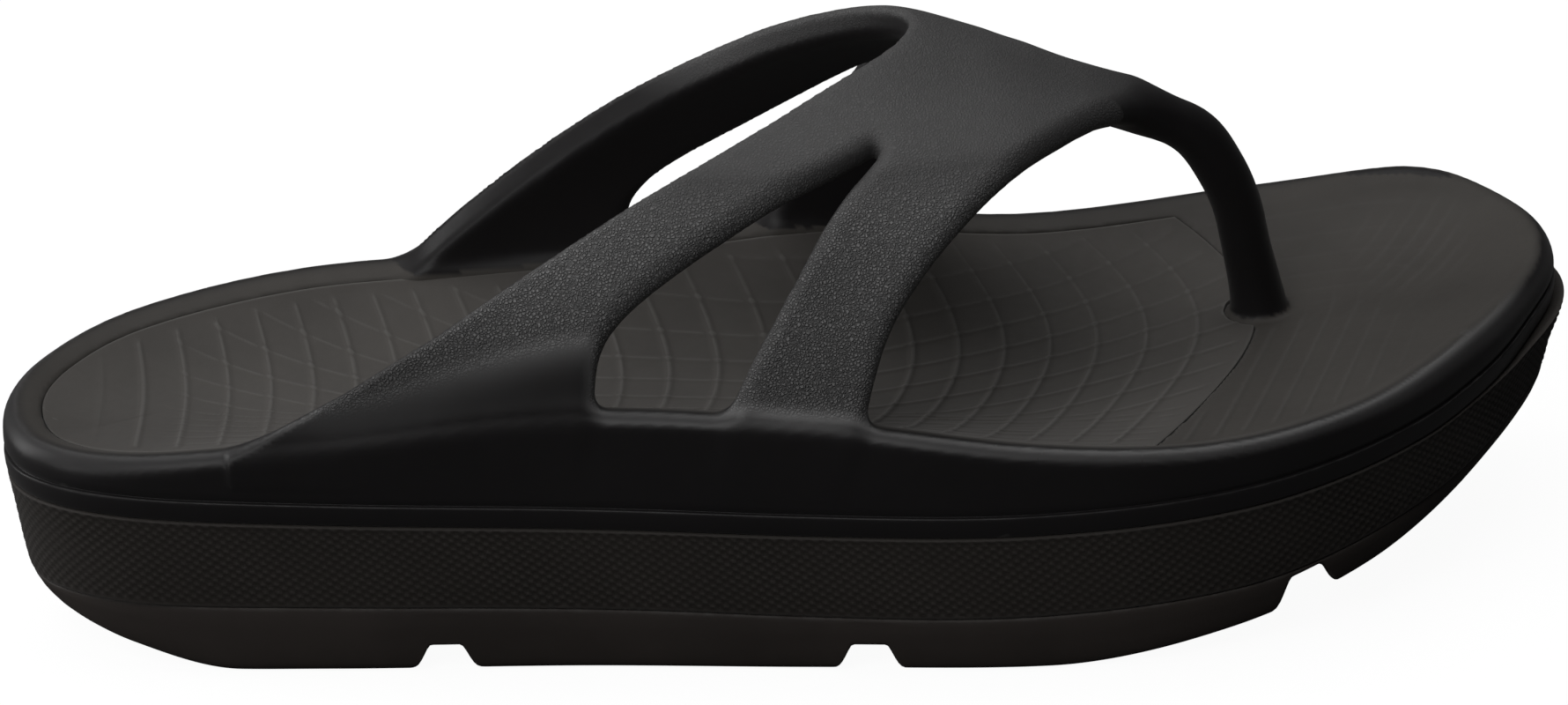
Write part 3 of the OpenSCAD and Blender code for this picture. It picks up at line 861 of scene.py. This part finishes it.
def build_upper():
    bm = trimmed_shell()
    loops = open_loops(bm)
    wall_loop = max(loops, key=lambda loop: sum(v.co.z for v in loop) / len(loop))
    cap(bm, add_wall(bm, wall_loop))
    for loop in loops:
        if loop is not wall_loop and len(loop) > 60:
            cap(bm, loop)
    bmesh.ops.recalc_face_normals(bm, faces=bm.faces[:])
    refine_platform(bm)
    add_post_root(bm)
    bmesh.ops.recalc_face_normals(bm, faces=bm.faces[:])
    bmesh.ops.dissolve_degenerate(bm, dist=1e-5, edges=bm.edges[:])

    points = true_points(bm)
    inset, at, top, past_panel, from_root = survey(points)
    on_platform = (np.abs(points[:, 2] - top) < 0.4) & (points[:, 0] > 50)
    lift = (toe_lines(points[:, :2], inset) * smooth(7.2, 9.5, inset)
            * smooth(1.2, 3.0, past_panel) * smooth(7.5, 10.5, from_root))
    lift = np.where(on_platform, lift, 0)
    points[:, 2] += lift
    for vert, place in zip(bm.verts, to_metres(points)):
        vert.co = place
    mesh = bpy.data.meshes.new("upper_foam_moulding")
    bm.to_mesh(mesh)
    bm.free()
    ob = link_object("upper_foam_moulding", mesh)
    mesh.shade_smooth()
    paint_upper(mesh, points, inset, at, top, lines=lift / 0.3)
    return ob


# ---- footbed panel -------------------------------------------------------------------------
EDGE_DROP = 0.14         # the panel's border is eased down by this


def footbed_rows():
    """Row numbers in even small steps along the foot, packed closer at the seam."""
    row = np.linspace(0.02, SEAM_ROW, 6000)
    steps = []
    for across, pitch in ((-1.0, 0.75), (1.0, 0.75), (0.0, 0.46)):
        path = row_point(row, across, PANEL_INSET)
        steps.append(np.linalg.norm(np.diff(path, axis=0), axis=1) / pitch)
    total = np.concatenate([[0], np.cumsum(np.maximum.reduce(steps))])
    rows = np.interp(np.linspace(0, total[-1], int(total[-1])), total, row)
    return np.concatenate([rows[:-2], SEAM_ROW - np.array([0.10, 0.06, 0.03, 0.01, 0])])


def footbed_columns(rows):
    """Positions across each row, -1 to 1, closer at both borders."""
    width = np.linalg.norm(row_point(rows, 1.0, PANEL_INSET)
                           - row_point(rows, -1.0, PANEL_INSET), axis=1)
    border = np.array([0, 0.1, 0.25, 0.45, 0.7])
    border_share = np.array([0, 0.02, 0.05, 0.08, 0.12])
    out = []
    for w in width:
        e = np.minimum(border, w * border_share)
        middle = np.linspace(e[-1], w - e[-1], 176)
        out.append(np.concatenate([e[:-1], middle, w - e[:-1][::-1]]) / w * 2 - 1)
    return np.array(out)


def footbed_lines(xy, row, to_edge):
    """Raised lines across, following the rows, and lines along the foot."""
    x = xy[:, 0]
    outer = row_point(row, -1.0, PANEL_INSET)
    from_outer = np.linalg.norm(xy - outer, axis=1)
    cross = (57.0 - outer[:, 0]) / 7.05 - 0.05
    # beside the rim the long lines follow it; further in they slant,
    # one way in the heel and the other in the forefoot
    slant_x = np.linspace(-136, 136, 273)
    slant = np.cumsum(-0.5 * smooth(-25, -60, slant_x) + 0.52 * smooth(-15, 25, slant_x))
    along = np.where(from_outer < 12, from_outer / 4.4, 12 / 4.4 + (from_outer - 12) / 7.6)
    along = along - np.interp(x, slant_x, slant) / 7.6 * smooth(9, 24, from_outer)
    fade = smooth(1.0, 3.2, to_edge) * (0.35 + 0.65 * smooth(95, 55, from_outer))
    return (0.29 * ridge(cross, 7.05, 0.9) * smooth(-122, -112, x)
            + 0.22 * ridge(along, 6.5, 0.85) * smooth(-112, -96, x)) * fade


def cut_notch(panel):
    """Round hole for the toe post in the footbed."""
    sides, radius = 96, NOTCH_R + GAP
    angles = np.linspace(0, 2 * math.pi, sides, endpoint=False)
    verts = [(ROOT_XY[0] + radius * math.cos(a), ROOT_XY[1] + radius * math.sin(a), z)
             for z in (10, 60) for a in angles]
    faces = [tuple(range(sides - 1, -1, -1)), tuple(range(sides, 2 * sides))]
    faces += [(i, (i + 1) % sides, sides + (i + 1) % sides, sides + i) for i in range(sides)]
    subtract(panel, make_object("cutter", verts, faces))


def build_footbed():
    rows = footbed_rows()
    columns = footbed_columns(rows)
    n_rows, n_cols = columns.shape
    xy = row_point(rows[:, None], columns, PANEL_INSET).reshape(-1, 2)
    inset, at = nearest(xy)
    to_edge = np.maximum(-panel_distance(xy, inset, PANEL_INSET), 0)
    z = top_height(xy, inset, at) + footbed_lines(xy, np.repeat(rows, n_cols), to_edge)
    z = z - EDGE_DROP * np.clip(1 - to_edge / 0.4, 0, 1) ** 2
    tip_xy = outline(0.0, PANEL_INSET)[0][None]
    tip_z = top_height(tip_xy, *nearest(tip_xy)) - EDGE_DROP
    top = np.vstack([np.column_stack([xy, z]), np.column_stack([tip_xy, tip_z])])
    faces = []
    for i in range(n_rows - 1):
        for j in range(n_cols - 1):
            a = i * n_cols + j
            faces.append((a, a + n_cols, a + n_cols + 1, a + 1))
    tip = n_rows * n_cols
    faces += [(tip, j, j + 1) for j in range(n_cols - 1)]

    # side: heel tip, outer border, seam, inner border, dropped in two steps
    loop = ([tip] + [i * n_cols for i in range(n_rows)]
            + [(n_rows - 1) * n_cols + j for j in range(1, n_cols - 1)]
            + [i * n_cols + n_cols - 1 for i in range(n_rows - 1, -1, -1)])
    side, low = top[loop], top[loop]
    side[:, 2] -= 0.7
    low[:, 2] = PARTING(low[:, 0]) + FLOOR
    count = len(loop)
    side_base = len(top)
    low_base = side_base + count
    for k in range(count):
        j = (k + 1) % count
        faces.append((loop[k], loop[j], side_base + j, side_base + k))
        faces.append((side_base + k, side_base + j, low_base + j, low_base + k))

    # bottom: strips between facing points of the two sides, and the seam's strip
    outer = [low_base + 1 + i for i in range(n_rows)]
    inner = [low_base + count - 1 - i for i in range(n_rows)]
    faces.append((low_base, inner[0], outer[0]))
    for i in range(n_rows - 1):
        faces.append((outer[i], inner[i], inner[i + 1], outer[i + 1]))
    seam = [low_base + 1 + n_rows + j for j in range(n_cols - 2)]
    faces.append((outer[-1], *seam, inner[-1]))
    ob = make_object("footbed_panel", np.vstack([top, side, low]), faces)
    clean(ob)
    cut_notch(ob)
    shade(ob, angle=50)
    return ob


# ---- midsole with its fine diagonal side texture -------------------------------------------
# Side profile: share of the height, inset.
MIDSOLE_PROFILE = np.array([
    (0, 2.0), (0.006, 1.78), (0.018, 1.62), (0.035, 1.5), (0.08, 1.35), (0.3, 1.05),
    (0.7, 0.72), (0.95, 0.42), (0.97, 0.36), (0.982, 0.36), (0.993, 0.45), (1.0, 0.72)])
# Stepped hole for the washer and the post's head: r, z.
SOCKET_PROFILE = [(0, 8), (12.3, 8), (12.3, -2.6), (7.9, -2.6), (7.9, -5.1), (0, -5.1)]


def build_midsole():
    at = even_params(690)
    count = len(at)
    edge, normal, _ = outline(at)
    run = np.cumsum(np.linalg.norm(np.diff(edge, axis=0), axis=1))
    arc = np.concatenate([[0], run])
    girth = arc[-1] + np.linalg.norm(edge[0] - edge[-1])
    twill = round(0.442 * girth) / girth      # ridges per mm, a whole number round the shoe
    levels = np.concatenate([[0, 0.006, 0.018], 0.035 + 0.935 * np.linspace(0, 1, 44),
                             [0.982, 0.993, 1.0]])
    rings = []
    for f, inset in zip(levels, np.interp(levels, *MIDSOLE_PROFILE.T)):
        x = outline(at, inset)[0][:, 0]
        toe, heel = smooth(112, 131, x), smooth(-112, -131, x)
        xy = outline(at, inset - 0.8 * toe * smooth(0.35, 0.9, f) * smooth(1.003, 0.985, f)
                     + (1.7 * toe + 1.4 * heel) * (1 - f))[0]
        low, high = SOLE_EDGE(xy[:, 0]) + GAP / 2, PARTING(xy[:, 0]) - GAP / 2
        z = low + (high - low) * f
        # fine twill: two families of shallow diagonal ridges
        rising = twill * arc + 0.73 * z
        falling = twill * arc - 0.547 * z
        fade = smooth(0.03, 0.07, f) * smooth(0.985, 0.955, f)
        relief = 0.15 * np.cos(2 * np.pi * rising) + 0.07 * np.cos(2 * np.pi * falling)
        relief = relief * fade
        relief *= 0.85 + 0.15 * np.sin(arc * 0.21 + z * 0.3) * np.sin(arc * 0.083)
        xy = xy + normal * (relief - 0.1 * fade)[:, None]
        rings.append(np.column_stack([xy, z]))
    faces = wall_faces(len(rings), count) + cap_faces(0, count, flip=False)
    faces += cap_faces((len(rings) - 1) * count, count, flip=True)
    ob = make_object("midsole_cushion", np.vstack(rings), faces)
    clean(ob)
    cutter = make_object("cutter", *lathe(SOCKET_PROFILE, 72))
    clean(cutter, merge=True)
    subtract(ob, cutter)
    shade(ob, angle=60)
    return ob


# ---- outsole: rocker underside, three grooves across, shallow tread ------------------------
# Grooves: x, width at the mouth, width at the root, depth.
GROOVES = [(-62.5, 14.0, 4.8, 4.4), (8.2, 14.0, 5.4, 4.4), (82.4, 14.5, 5.0, 5.0)]
# Side profile: share of the height, inset.
OUTSOLE_PROFILE = np.array([
    (-0.05, 5.4), (0.0, 4.4), (0.05, 3.4), (0.12, 2.9), (0.32, 2.35), (0.68, 1.8),
    (0.9, 1.6), (0.97, 1.65), (1.0, 1.95)])
OUTSOLE_LEVELS = [0, 0.012, 0.035, 0.07, 0.12, 0.2, 0.32, 0.45, 0.58, 0.68, 0.78, 0.88, 0.95,
                  0.985, 1.0]


def groove_cut(x):
    """Height of the underside above the rocker line at x."""
    out = np.zeros_like(x)
    for centre, mouth, root, depth in GROOVES:
        # half width shrinks from mouth to root as the depth grows along a soft S
        part = np.clip((mouth / 2 - np.abs(x - centre)) / ((mouth - root) / 2), 0, 1)
        out = np.maximum(out, depth * (1 - np.cos(np.pi * part ** 1.8)) / 2)
    return out


def outsole_ring(at, f):
    """Ring at share f of the height; inset and height are settled in three rounds."""
    xy = outline(at, 4.0)[0]
    for _ in range(3):
        x = xy[:, 0]
        high = SOLE_EDGE(x) - GAP / 2
        rocker = ROCKER(x)
        low = rocker + groove_cut(x)
        z = low + (high - low) * f
        inset = np.interp((z - rocker) / (high - rocker), *OUTSOLE_PROFILE.T)
        # the pads' lower edge is rounded also where a groove lifts it
        inset = np.maximum(inset, 1.7 + 2.6 * np.clip(1 - (z - low) / 1.6, 0, 1) ** 2)
        inset = inset + 1.7 * smooth(92, 131, x) + 1.6 * smooth(-92, -131, x)
        xy = outline(at, inset)[0]
    return np.column_stack([xy, z])


def tread_height(xy):
    """Underside's height: waves across each pad, inside a plain border."""
    x, y = xy[:, 0], xy[:, 1]
    cut = groove_cut(x)
    pitch = 6.2
    wave = (x + 2.0 * np.sin(2 * np.pi * y / 19.0)) / pitch
    from_wave = np.abs(wave - np.round(wave)) * pitch
    depth = np.minimum(np.clip(1 - from_wave / 0.95, 0, 1) * 1.6, 1.0)
    to_groove = np.min([np.abs(np.abs(x - g[0]) - g[1] / 2) for g in GROOVES], axis=0)
    return (ROCKER(x) + cut + 0.75 * depth * (1 - smooth(0.05, 0.5, cut))
            * smooth(10.5, 12.5, nearest(xy)[0]) * smooth(1.5, 3.0, to_groove))


def build_outsole():
    at = even_params(560)
    count = len(at)
    half = count // 2
    rings = [outsole_ring(at, f) for f in OUTSOLE_LEVELS]
    faces = wall_faces(len(rings), count)
    faces += cap_faces((len(rings) - 1) * count, count, flip=True)
    # underside as rows across the foot
    cells = 96
    v = np.linspace(0, 1, cells + 1)[1:-1][:, None]
    edge = rings[0][:, :2]
    under = (edge[1:half, None] * (1 - v) + edge[:half:-1][:, None] * v).reshape(-1, 2)
    base = len(rings) * count

    def vert(i, k):
        if k == 0:
            return i
        if k == cells:
            return count - i
        return base + (i - 1) * (cells - 1) + k - 1

    for i in range(1, half - 1):
        for k in range(cells):
            faces.append((vert(i, k), vert(i, k + 1), vert(i + 1, k + 1), vert(i + 1, k)))
    for k in range(cells):
        faces.append((0, vert(1, k + 1), vert(1, k)))
        faces.append((half, vert(half - 1, k), vert(half - 1, k + 1)))
    verts = np.vstack(rings + [np.column_stack([under, tread_height(under)])])
    ob = make_object("outsole_rubber", verts, faces)
    clean(ob)
    shade(ob, angle=55)
    return ob


# ---- washer round the post's root ----------------------------------------------------------
WASHER_Z = -2.3
# r, z above the washer's underside
WASHER_PROFILE = [
    (4.95, 0.2), (5.15, 0), (11.4, 0), (11.75, 0.1), (12.0, 0.45), (12.0, 1.55), (11.75, 1.9),
    (11.4, 2.0), (9.2, 2.0), (8.9, 1.82), (7.4, 1.82), (7.1, 2.0), (5.15, 2.0), (4.95, 1.8),
    (4.95, 0.2)]


def build_washer():
    profile = [(r, z + WASHER_Z) for r, z in WASHER_PROFILE]
    ob = make_object("toe_post_washer_ring", *lathe(profile, 96))
    clean(ob, merge=True)
    shade(ob, angle=40)
    return ob


# ---- materials -----------------------------------------------------------------------------
def add_node(tree, kind, inputs=None, **settings):
    """New node; inputs maps sockets to values or to sockets to link from."""
    node = tree.nodes.new(kind)
    for name, value in settings.items():
        setattr(node, name, value)
    for key, value in (inputs or {}).items():
        if isinstance(value, bpy.types.NodeSocket):
            tree.links.new(value, node.inputs[key])
        else:
            node.inputs[key].default_value = value
    return node


def node_tree(owner):
    owner.use_nodes = True
    owner.node_tree.nodes.clear()
    return owner.node_tree


def tint(colour, factor=1.0):
    return tuple(channel * factor for channel in colour) + (1.0,)


class Shader:
    """A material built up from short calls; each returns a socket."""

    def __init__(self, name):
        self.material = bpy.data.materials.new(name)
        self.tree = node_tree(self.material)
        self.coords = self.node("ShaderNodeTexCoord").outputs["Object"]

    def node(self, kind, inputs=None, **settings):
        return add_node(self.tree, kind, inputs, **settings)

    def math(self, operation, a, b):
        return self.node("ShaderNodeMath", {0: a, 1: b}, operation=operation).outputs[0]

    def times(self, a, b):
        return self.math("MULTIPLY", a, b)

    def plus(self, a, b):
        return self.math("ADD", a, b)

    def mix(self, factor, a, b, blend="MIX"):
        return self.node("ShaderNodeMix", {0: factor, 6: a, 7: b},
                         data_type="RGBA", blend_type=blend).outputs[2]

    def ramp(self, value, start, end, low=0.0, high=1.0):
        return self.node("ShaderNodeMapRange", {0: value, 1: start, 2: end, 3: low, 4: high},
                         interpolation_type="SMOOTHSTEP").outputs[0]

    def noise(self, scale, detail=3.0, roughness=0.5, output=0):
        return self.node("ShaderNodeTexNoise", {
            "Vector": self.coords, "Scale": scale, "Detail": detail,
            "Roughness": roughness}).outputs[output]

    def attribute(self, name):
        return self.node("ShaderNodeAttribute", attribute_name=name).outputs["Fac"]

    def bump(self, height, strength, distance, under=None):
        """Bump of the given depth in metres, over an earlier bump if given."""
        inputs = {"Strength": strength, "Distance": distance, "Height": height}
        if under is not None:
            inputs["Normal"] = under
        return self.node("ShaderNodeBump", inputs).outputs[0]

    def mottle(self, colour, scale, dark, light, detail=5, roughness=0.6):
        """Colour drifting between two tints of itself."""
        cloud = self.noise(scale=scale, detail=detail, roughness=roughness)
        return self.mix(self.ramp(cloud, 0.3, 0.7), tint(colour, dark), tint(colour, light))

    def crowns(self, start, end):
        """1 on convex edges, from the surface's pointiness."""
        geometry = self.node("ShaderNodeNewGeometry")
        return self.ramp(geometry.outputs["Pointiness"], start, end)

    def uneven(self, base, spread, scale):
        """Roughness value with noise over it."""
        noise = self.noise(scale=scale, detail=3, roughness=0.6)
        return self.plus(base, self.times(noise, spread))

    def surface(self, inputs):
        principled = self.node("ShaderNodeBsdfPrincipled", inputs)
        self.node("ShaderNodeOutputMaterial", {0: principled.outputs[0]})
        return self.material


def leather_height(m):
    """Leather-like grain: small crumpled cells."""
    warp = m.noise(scale=700, detail=2, output="Color")
    bent = m.node("ShaderNodeVectorMath", {0: warp, 1: (0.0006,) * 3, 2: m.coords},
                  operation="MULTIPLY_ADD").outputs[0]
    voronoi = m.node("ShaderNodeTexVoronoi", {"Vector": bent, "Scale": 1900},
                     feature="DISTANCE_TO_EDGE")
    cell = m.ramp(voronoi.outputs["Distance"], 0.0, 0.32)
    crumple = m.noise(scale=1500, detail=3, roughness=0.6)
    return m.plus(m.times(cell, 0.75), m.times(crumple, 0.5))


def upper_material():
    m = Shader("upper_foam_satin")
    # One moulding, coloured by region: dark on the wall, paler on top, far paler on the legs.
    # This spread is painted light and shade, not a real change of colour.
    wall_colour = (0.0120, 0.0108, 0.0114)
    painted_leg_light_colour = (0.151, 0.149, 0.149)
    top_colour = (0.0570, 0.0520, 0.0468)
    line_colour = (0.098, 0.094, 0.089)
    worn_colour = (0.10, 0.098, 0.096)
    grain, top, painted_light = m.attribute("grain"), m.attribute("top"), m.attribute("painted_light")
    vary = m.ramp(m.noise(scale=38, detail=4, roughness=0.55), 0.3, 0.7, low=0.92, high=1.08)
    colour = m.mix(painted_light, tint(wall_colour), tint(painted_leg_light_colour))
    colour = m.mix(top, colour, tint(top_colour))
    # raised toe lines painted paler: partly wear, partly a painted highlight on the ridges
    colour = m.mix(m.times(m.attribute("lines"), 0.45), colour, tint(line_colour))
    height = leather_height(m)
    mottling = m.times(m.ramp(height, 0.45, 1.05, low=0.63, high=1.46), 1.0)
    colour = m.mix(1.0, colour, m.mix(grain, (1, 1, 1, 1), mottling), "MULTIPLY")
    grey = m.node("ShaderNodeCombineColor", {0: vary, 1: vary, 2: vary}).outputs[0]
    colour = m.mix(1.0, colour, grey, "MULTIPLY")
    # convex edges worn a little paler in patches
    patches = m.ramp(m.noise(scale=260, detail=4, roughness=0.6), 0.35, 0.65)
    pale_edges = m.times(m.crowns(0.515, 0.56), m.times(patches, 0.35))
    colour = m.mix(pale_edges, colour, tint(worn_colour))
    rough = m.plus(m.times(grain, 0.14), 0.42)
    rough = m.plus(rough, m.times(top, 0.14))
    drift = m.math("SUBTRACT", m.noise(scale=320, detail=3, roughness=0.6), 0.5)
    rough = m.plus(rough, m.times(drift, 0.16))
    bump = m.bump(m.noise(scale=2600, detail=2), strength=0.10, distance=0.0001)
    bump = m.bump(m.noise(scale=420), strength=m.plus(0.05, m.times(top, 0.15)),
                  distance=0.0002, under=bump)
    bump = m.bump(height, strength=m.times(grain, 1.0), distance=0.00040, under=bump)
    return m.surface({"Base Color": colour, "Roughness": rough, "Normal": bump,
                      "Specular IOR Level": m.plus(0.26, m.times(painted_light, 0.3)),
                      "Sheen Weight": 0.06, "Sheen Roughness": 0.45})


def footbed_material():
    m = Shader("footbed_foam_matte")
    colour = m.mottle((0.0712, 0.0655, 0.0600), scale=30, dark=0.9, light=1.1)
    # raised lines and edges painted paler: partly wear, partly a painted highlight on the ridges
    colour = m.mix(m.times(m.crowns(0.502, 0.525), 0.6), colour, tint((0.125, 0.12, 0.113)))
    specks = m.ramp(m.noise(scale=2400, detail=2, roughness=0.6), 0.62, 0.75)
    colour = m.mix(m.times(specks, 0.25), colour, tint((0.10, 0.095, 0.09)))
    bump = m.bump(m.noise(scale=2200, roughness=0.6), strength=0.25, distance=0.00012)
    bump = m.bump(m.noise(scale=300), strength=0.12, distance=0.0003, under=bump)
    return m.surface({"Base Color": colour, "Normal": bump,
                      "Roughness": m.uneven(base=0.62, spread=0.2, scale=500),
                      "Specular IOR Level": 0.3, "Sheen Weight": 0.1})


def midsole_material():
    m = Shader("midsole_foam_matte")
    colour = m.mottle((0.0230, 0.0196, 0.0170), scale=26, dark=0.88, light=1.12)
    colour = m.mix(m.times(m.crowns(0.49, 0.54), 0.45), colour, tint((0.078, 0.071, 0.066)))
    bump = m.bump(m.noise(scale=1800, roughness=0.6), strength=0.3, distance=0.00012)
    return m.surface({"Base Color": colour, "Normal": bump,
                      "Roughness": m.uneven(base=0.55, spread=0.2, scale=420),
                      "Specular IOR Level": 0.25, "Sheen Weight": 0.06})


def outsole_material():
    m = Shader("outsole_rubber_dark")
    colour = m.mottle((0.0370, 0.0308, 0.0277), scale=24, dark=0.88, light=1.15)
    # convex edges paler in patches: partly wear, partly a painted highlight along the outsole's
    # top edge
    patches = m.ramp(m.noise(scale=300, detail=4, roughness=0.6), 0.3, 0.7)
    pale_edges = m.times(m.crowns(0.51, 0.56), patches)
    colour = m.mix(m.times(pale_edges, 0.4), colour, tint((0.13, 0.125, 0.12)))
    bump = m.bump(m.noise(scale=1600, roughness=0.6), strength=0.25, distance=0.00012)
    return m.surface({"Base Color": colour, "Normal": bump,
                      "Roughness": m.uneven(base=0.5, spread=0.22, scale=380),
                      "Specular IOR Level": 0.3})


def washer_material():
    m = Shader("washer_plastic_satin")
    colour = m.mottle((0.42, 0.42, 0.40), scale=200, dark=0.93, light=1.05, detail=4)
    bump = m.bump(m.noise(scale=1500, detail=2), strength=0.15, distance=0.0001)
    return m.surface({"Base Color": colour, "Normal": bump,
                      "Roughness": m.uneven(base=0.4, spread=0.2, scale=600)})


# ---- build: function, CAD node, slot, material ---------------------------------------------
PIECES = [
    (build_upper, "upper", "upper_foam", upper_material),
    (build_footbed, "footbed", "footbed_foam", footbed_material),
    (build_midsole, "midsole", "midsole_foam", midsole_material),
    (build_outsole, "outsole", "outsole_rubber", outsole_material),
    (build_washer, "toe_post_washer", "washer_plastic", washer_material),
]
for build, node, slot, material in PIECES:
    ob = build()
    ob.data.materials.clear()
    ob.data.materials.append(material())
    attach(ob, "root")
    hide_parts(node)


# ---- floor, world, light, camera -----------------------------------------------------------
def floor_material():
    """Nearly white to the camera, dark to all other rays."""
    material = bpy.data.materials.new("pale_floor")
    tree = node_tree(material)
    dark = add_node(tree, "ShaderNodeBsdfDiffuse", {0: (0.10, 0.10, 0.10, 1)})
    pale = add_node(tree, "ShaderNodeBsdfDiffuse", {0: (0.9, 0.9, 0.9, 1)})
    glow = add_node(tree, "ShaderNodeEmission", {0: (1, 1, 1, 1), 1: 1.08})
    seen = add_node(tree, "ShaderNodeMixShader",
                    {0: 0.88, 1: pale.outputs[0], 2: glow.outputs[0]})
    path = add_node(tree, "ShaderNodeLightPath")
    mixed = add_node(tree, "ShaderNodeMixShader", {
        0: path.outputs["Is Camera Ray"], 1: dark.outputs[0], 2: seen.outputs[0]})
    add_node(tree, "ShaderNodeOutputMaterial", {0: mixed.outputs[0]})
    return material


def add_floor():
    size, z = 8, ORIGIN[2] - 0.0004
    mesh = bpy.data.meshes.new("floor")
    mesh.from_pydata([(-size, -size, z), (size, -size, z), (size, size, z), (-size, size, z)],
                     [], [(0, 1, 2, 3)])
    floor = link_object("floor", mesh)
    mesh.materials.append(floor_material())


def add_world():
    """Dim white sky, brighter upwards and towards +y."""
    world = bpy.data.worlds.new("studio")
    bpy.context.scene.world = world
    tree = node_tree(world)
    coords = add_node(tree, "ShaderNodeTexCoord").outputs["Generated"]
    axes = add_node(tree, "ShaderNodeSeparateXYZ", {0: coords}).outputs
    y_share = 0.7
    level = add_node(tree, "ShaderNodeMath", {0: axes["Y"], 1: y_share, 2: axes["Z"]},
                     operation="MULTIPLY_ADD").outputs[0]
    # level from, level to, strength from, strength to
    strength = add_node(tree, "ShaderNodeMapRange", {0: level, 1: -0.35, 2: 0.9, 3: 0.0, 4: 0.03},
                        interpolation_type="SMOOTHSTEP").outputs[0]
    sky = add_node(tree, "ShaderNodeBackground", {"Strength": strength, 0: (1, 1, 1, 1)})
    add_node(tree, "ShaderNodeOutputWorld", {0: sky.outputs[0]})


def add_area(name, place, target, size, power):
    light = bpy.data.lights.new(name, "AREA")
    light.shape = "RECTANGLE"
    light.size, light.size_y = size
    light.energy = power
    ob = link_object(name, light)
    ob.location = place
    aim = Vector(target) - Vector(place)
    ob.rotation_euler = aim.to_track_quat("-Z", "Y").to_euler()


def add_camera():
    azimuth, elevation, roll = (math.radians(a) for a in (-3.812, 23.585, -2.408))
    distance = 1.305
    aim_right, aim_up = 0.0012637681159, -0.010168115942    # slopes off the target
    back = Vector((math.sin(azimuth) * math.cos(elevation),
                   -math.cos(azimuth) * math.cos(elevation), math.sin(elevation)))
    level = Vector((math.cos(azimuth), math.sin(azimuth), 0))
    upright = back.cross(level)
    right = level * math.cos(roll) + upright * math.sin(roll)
    up = upright * math.cos(roll) - level * math.sin(roll)
    place = Vector((ORIGIN[0], ORIGIN[1], 0.025)) + back * distance
    back = (back + right * aim_right + up * aim_up).normalized()
    right = (right - back * right.dot(back)).normalized()
    up = back.cross(right)
    data = bpy.data.cameras.new("camera")
    data.sensor_width = 36
    data.lens = 174.4382022
    data.clip_start, data.clip_end = 0.05, 50
    camera = link_object("camera", data)
    camera.matrix_world = Matrix((*zip(right, up, back, place), (0, 0, 0, 1)))
    bpy.context.scene.camera = camera


add_floor()
view = bpy.context.scene.view_settings
view.view_transform = "Standard"
view.look = "None"
view.exposure = 0
view.gamma = 1
add_world()
add_area("overhead", place=(0.0, 0.25, 1.25), target=(0, 0.0, 0.03), size=(1.5, 1.1), power=7.0)
add_area("front_top", place=(-0.45, -0.95, 0.95), target=(0, 0, 0.04), size=(0.9, 0.6),
         power=5.0)
add_area("left_strip", place=(-1.15, 0.35, 0.45), target=(0, 0, 0.05), size=(0.35, 0.9),
         power=4.6)
add_area("left_low", place=(-1.1, -0.6, 0.28), target=(-0.05, 0, 0.03), size=(0.5, 0.4),
         power=1.8)
add_area("back", place=(0.0, 1.3, 0.75), target=(0, 0, 0.05), size=(1.8, 0.5), power=0.4)
add_camera()
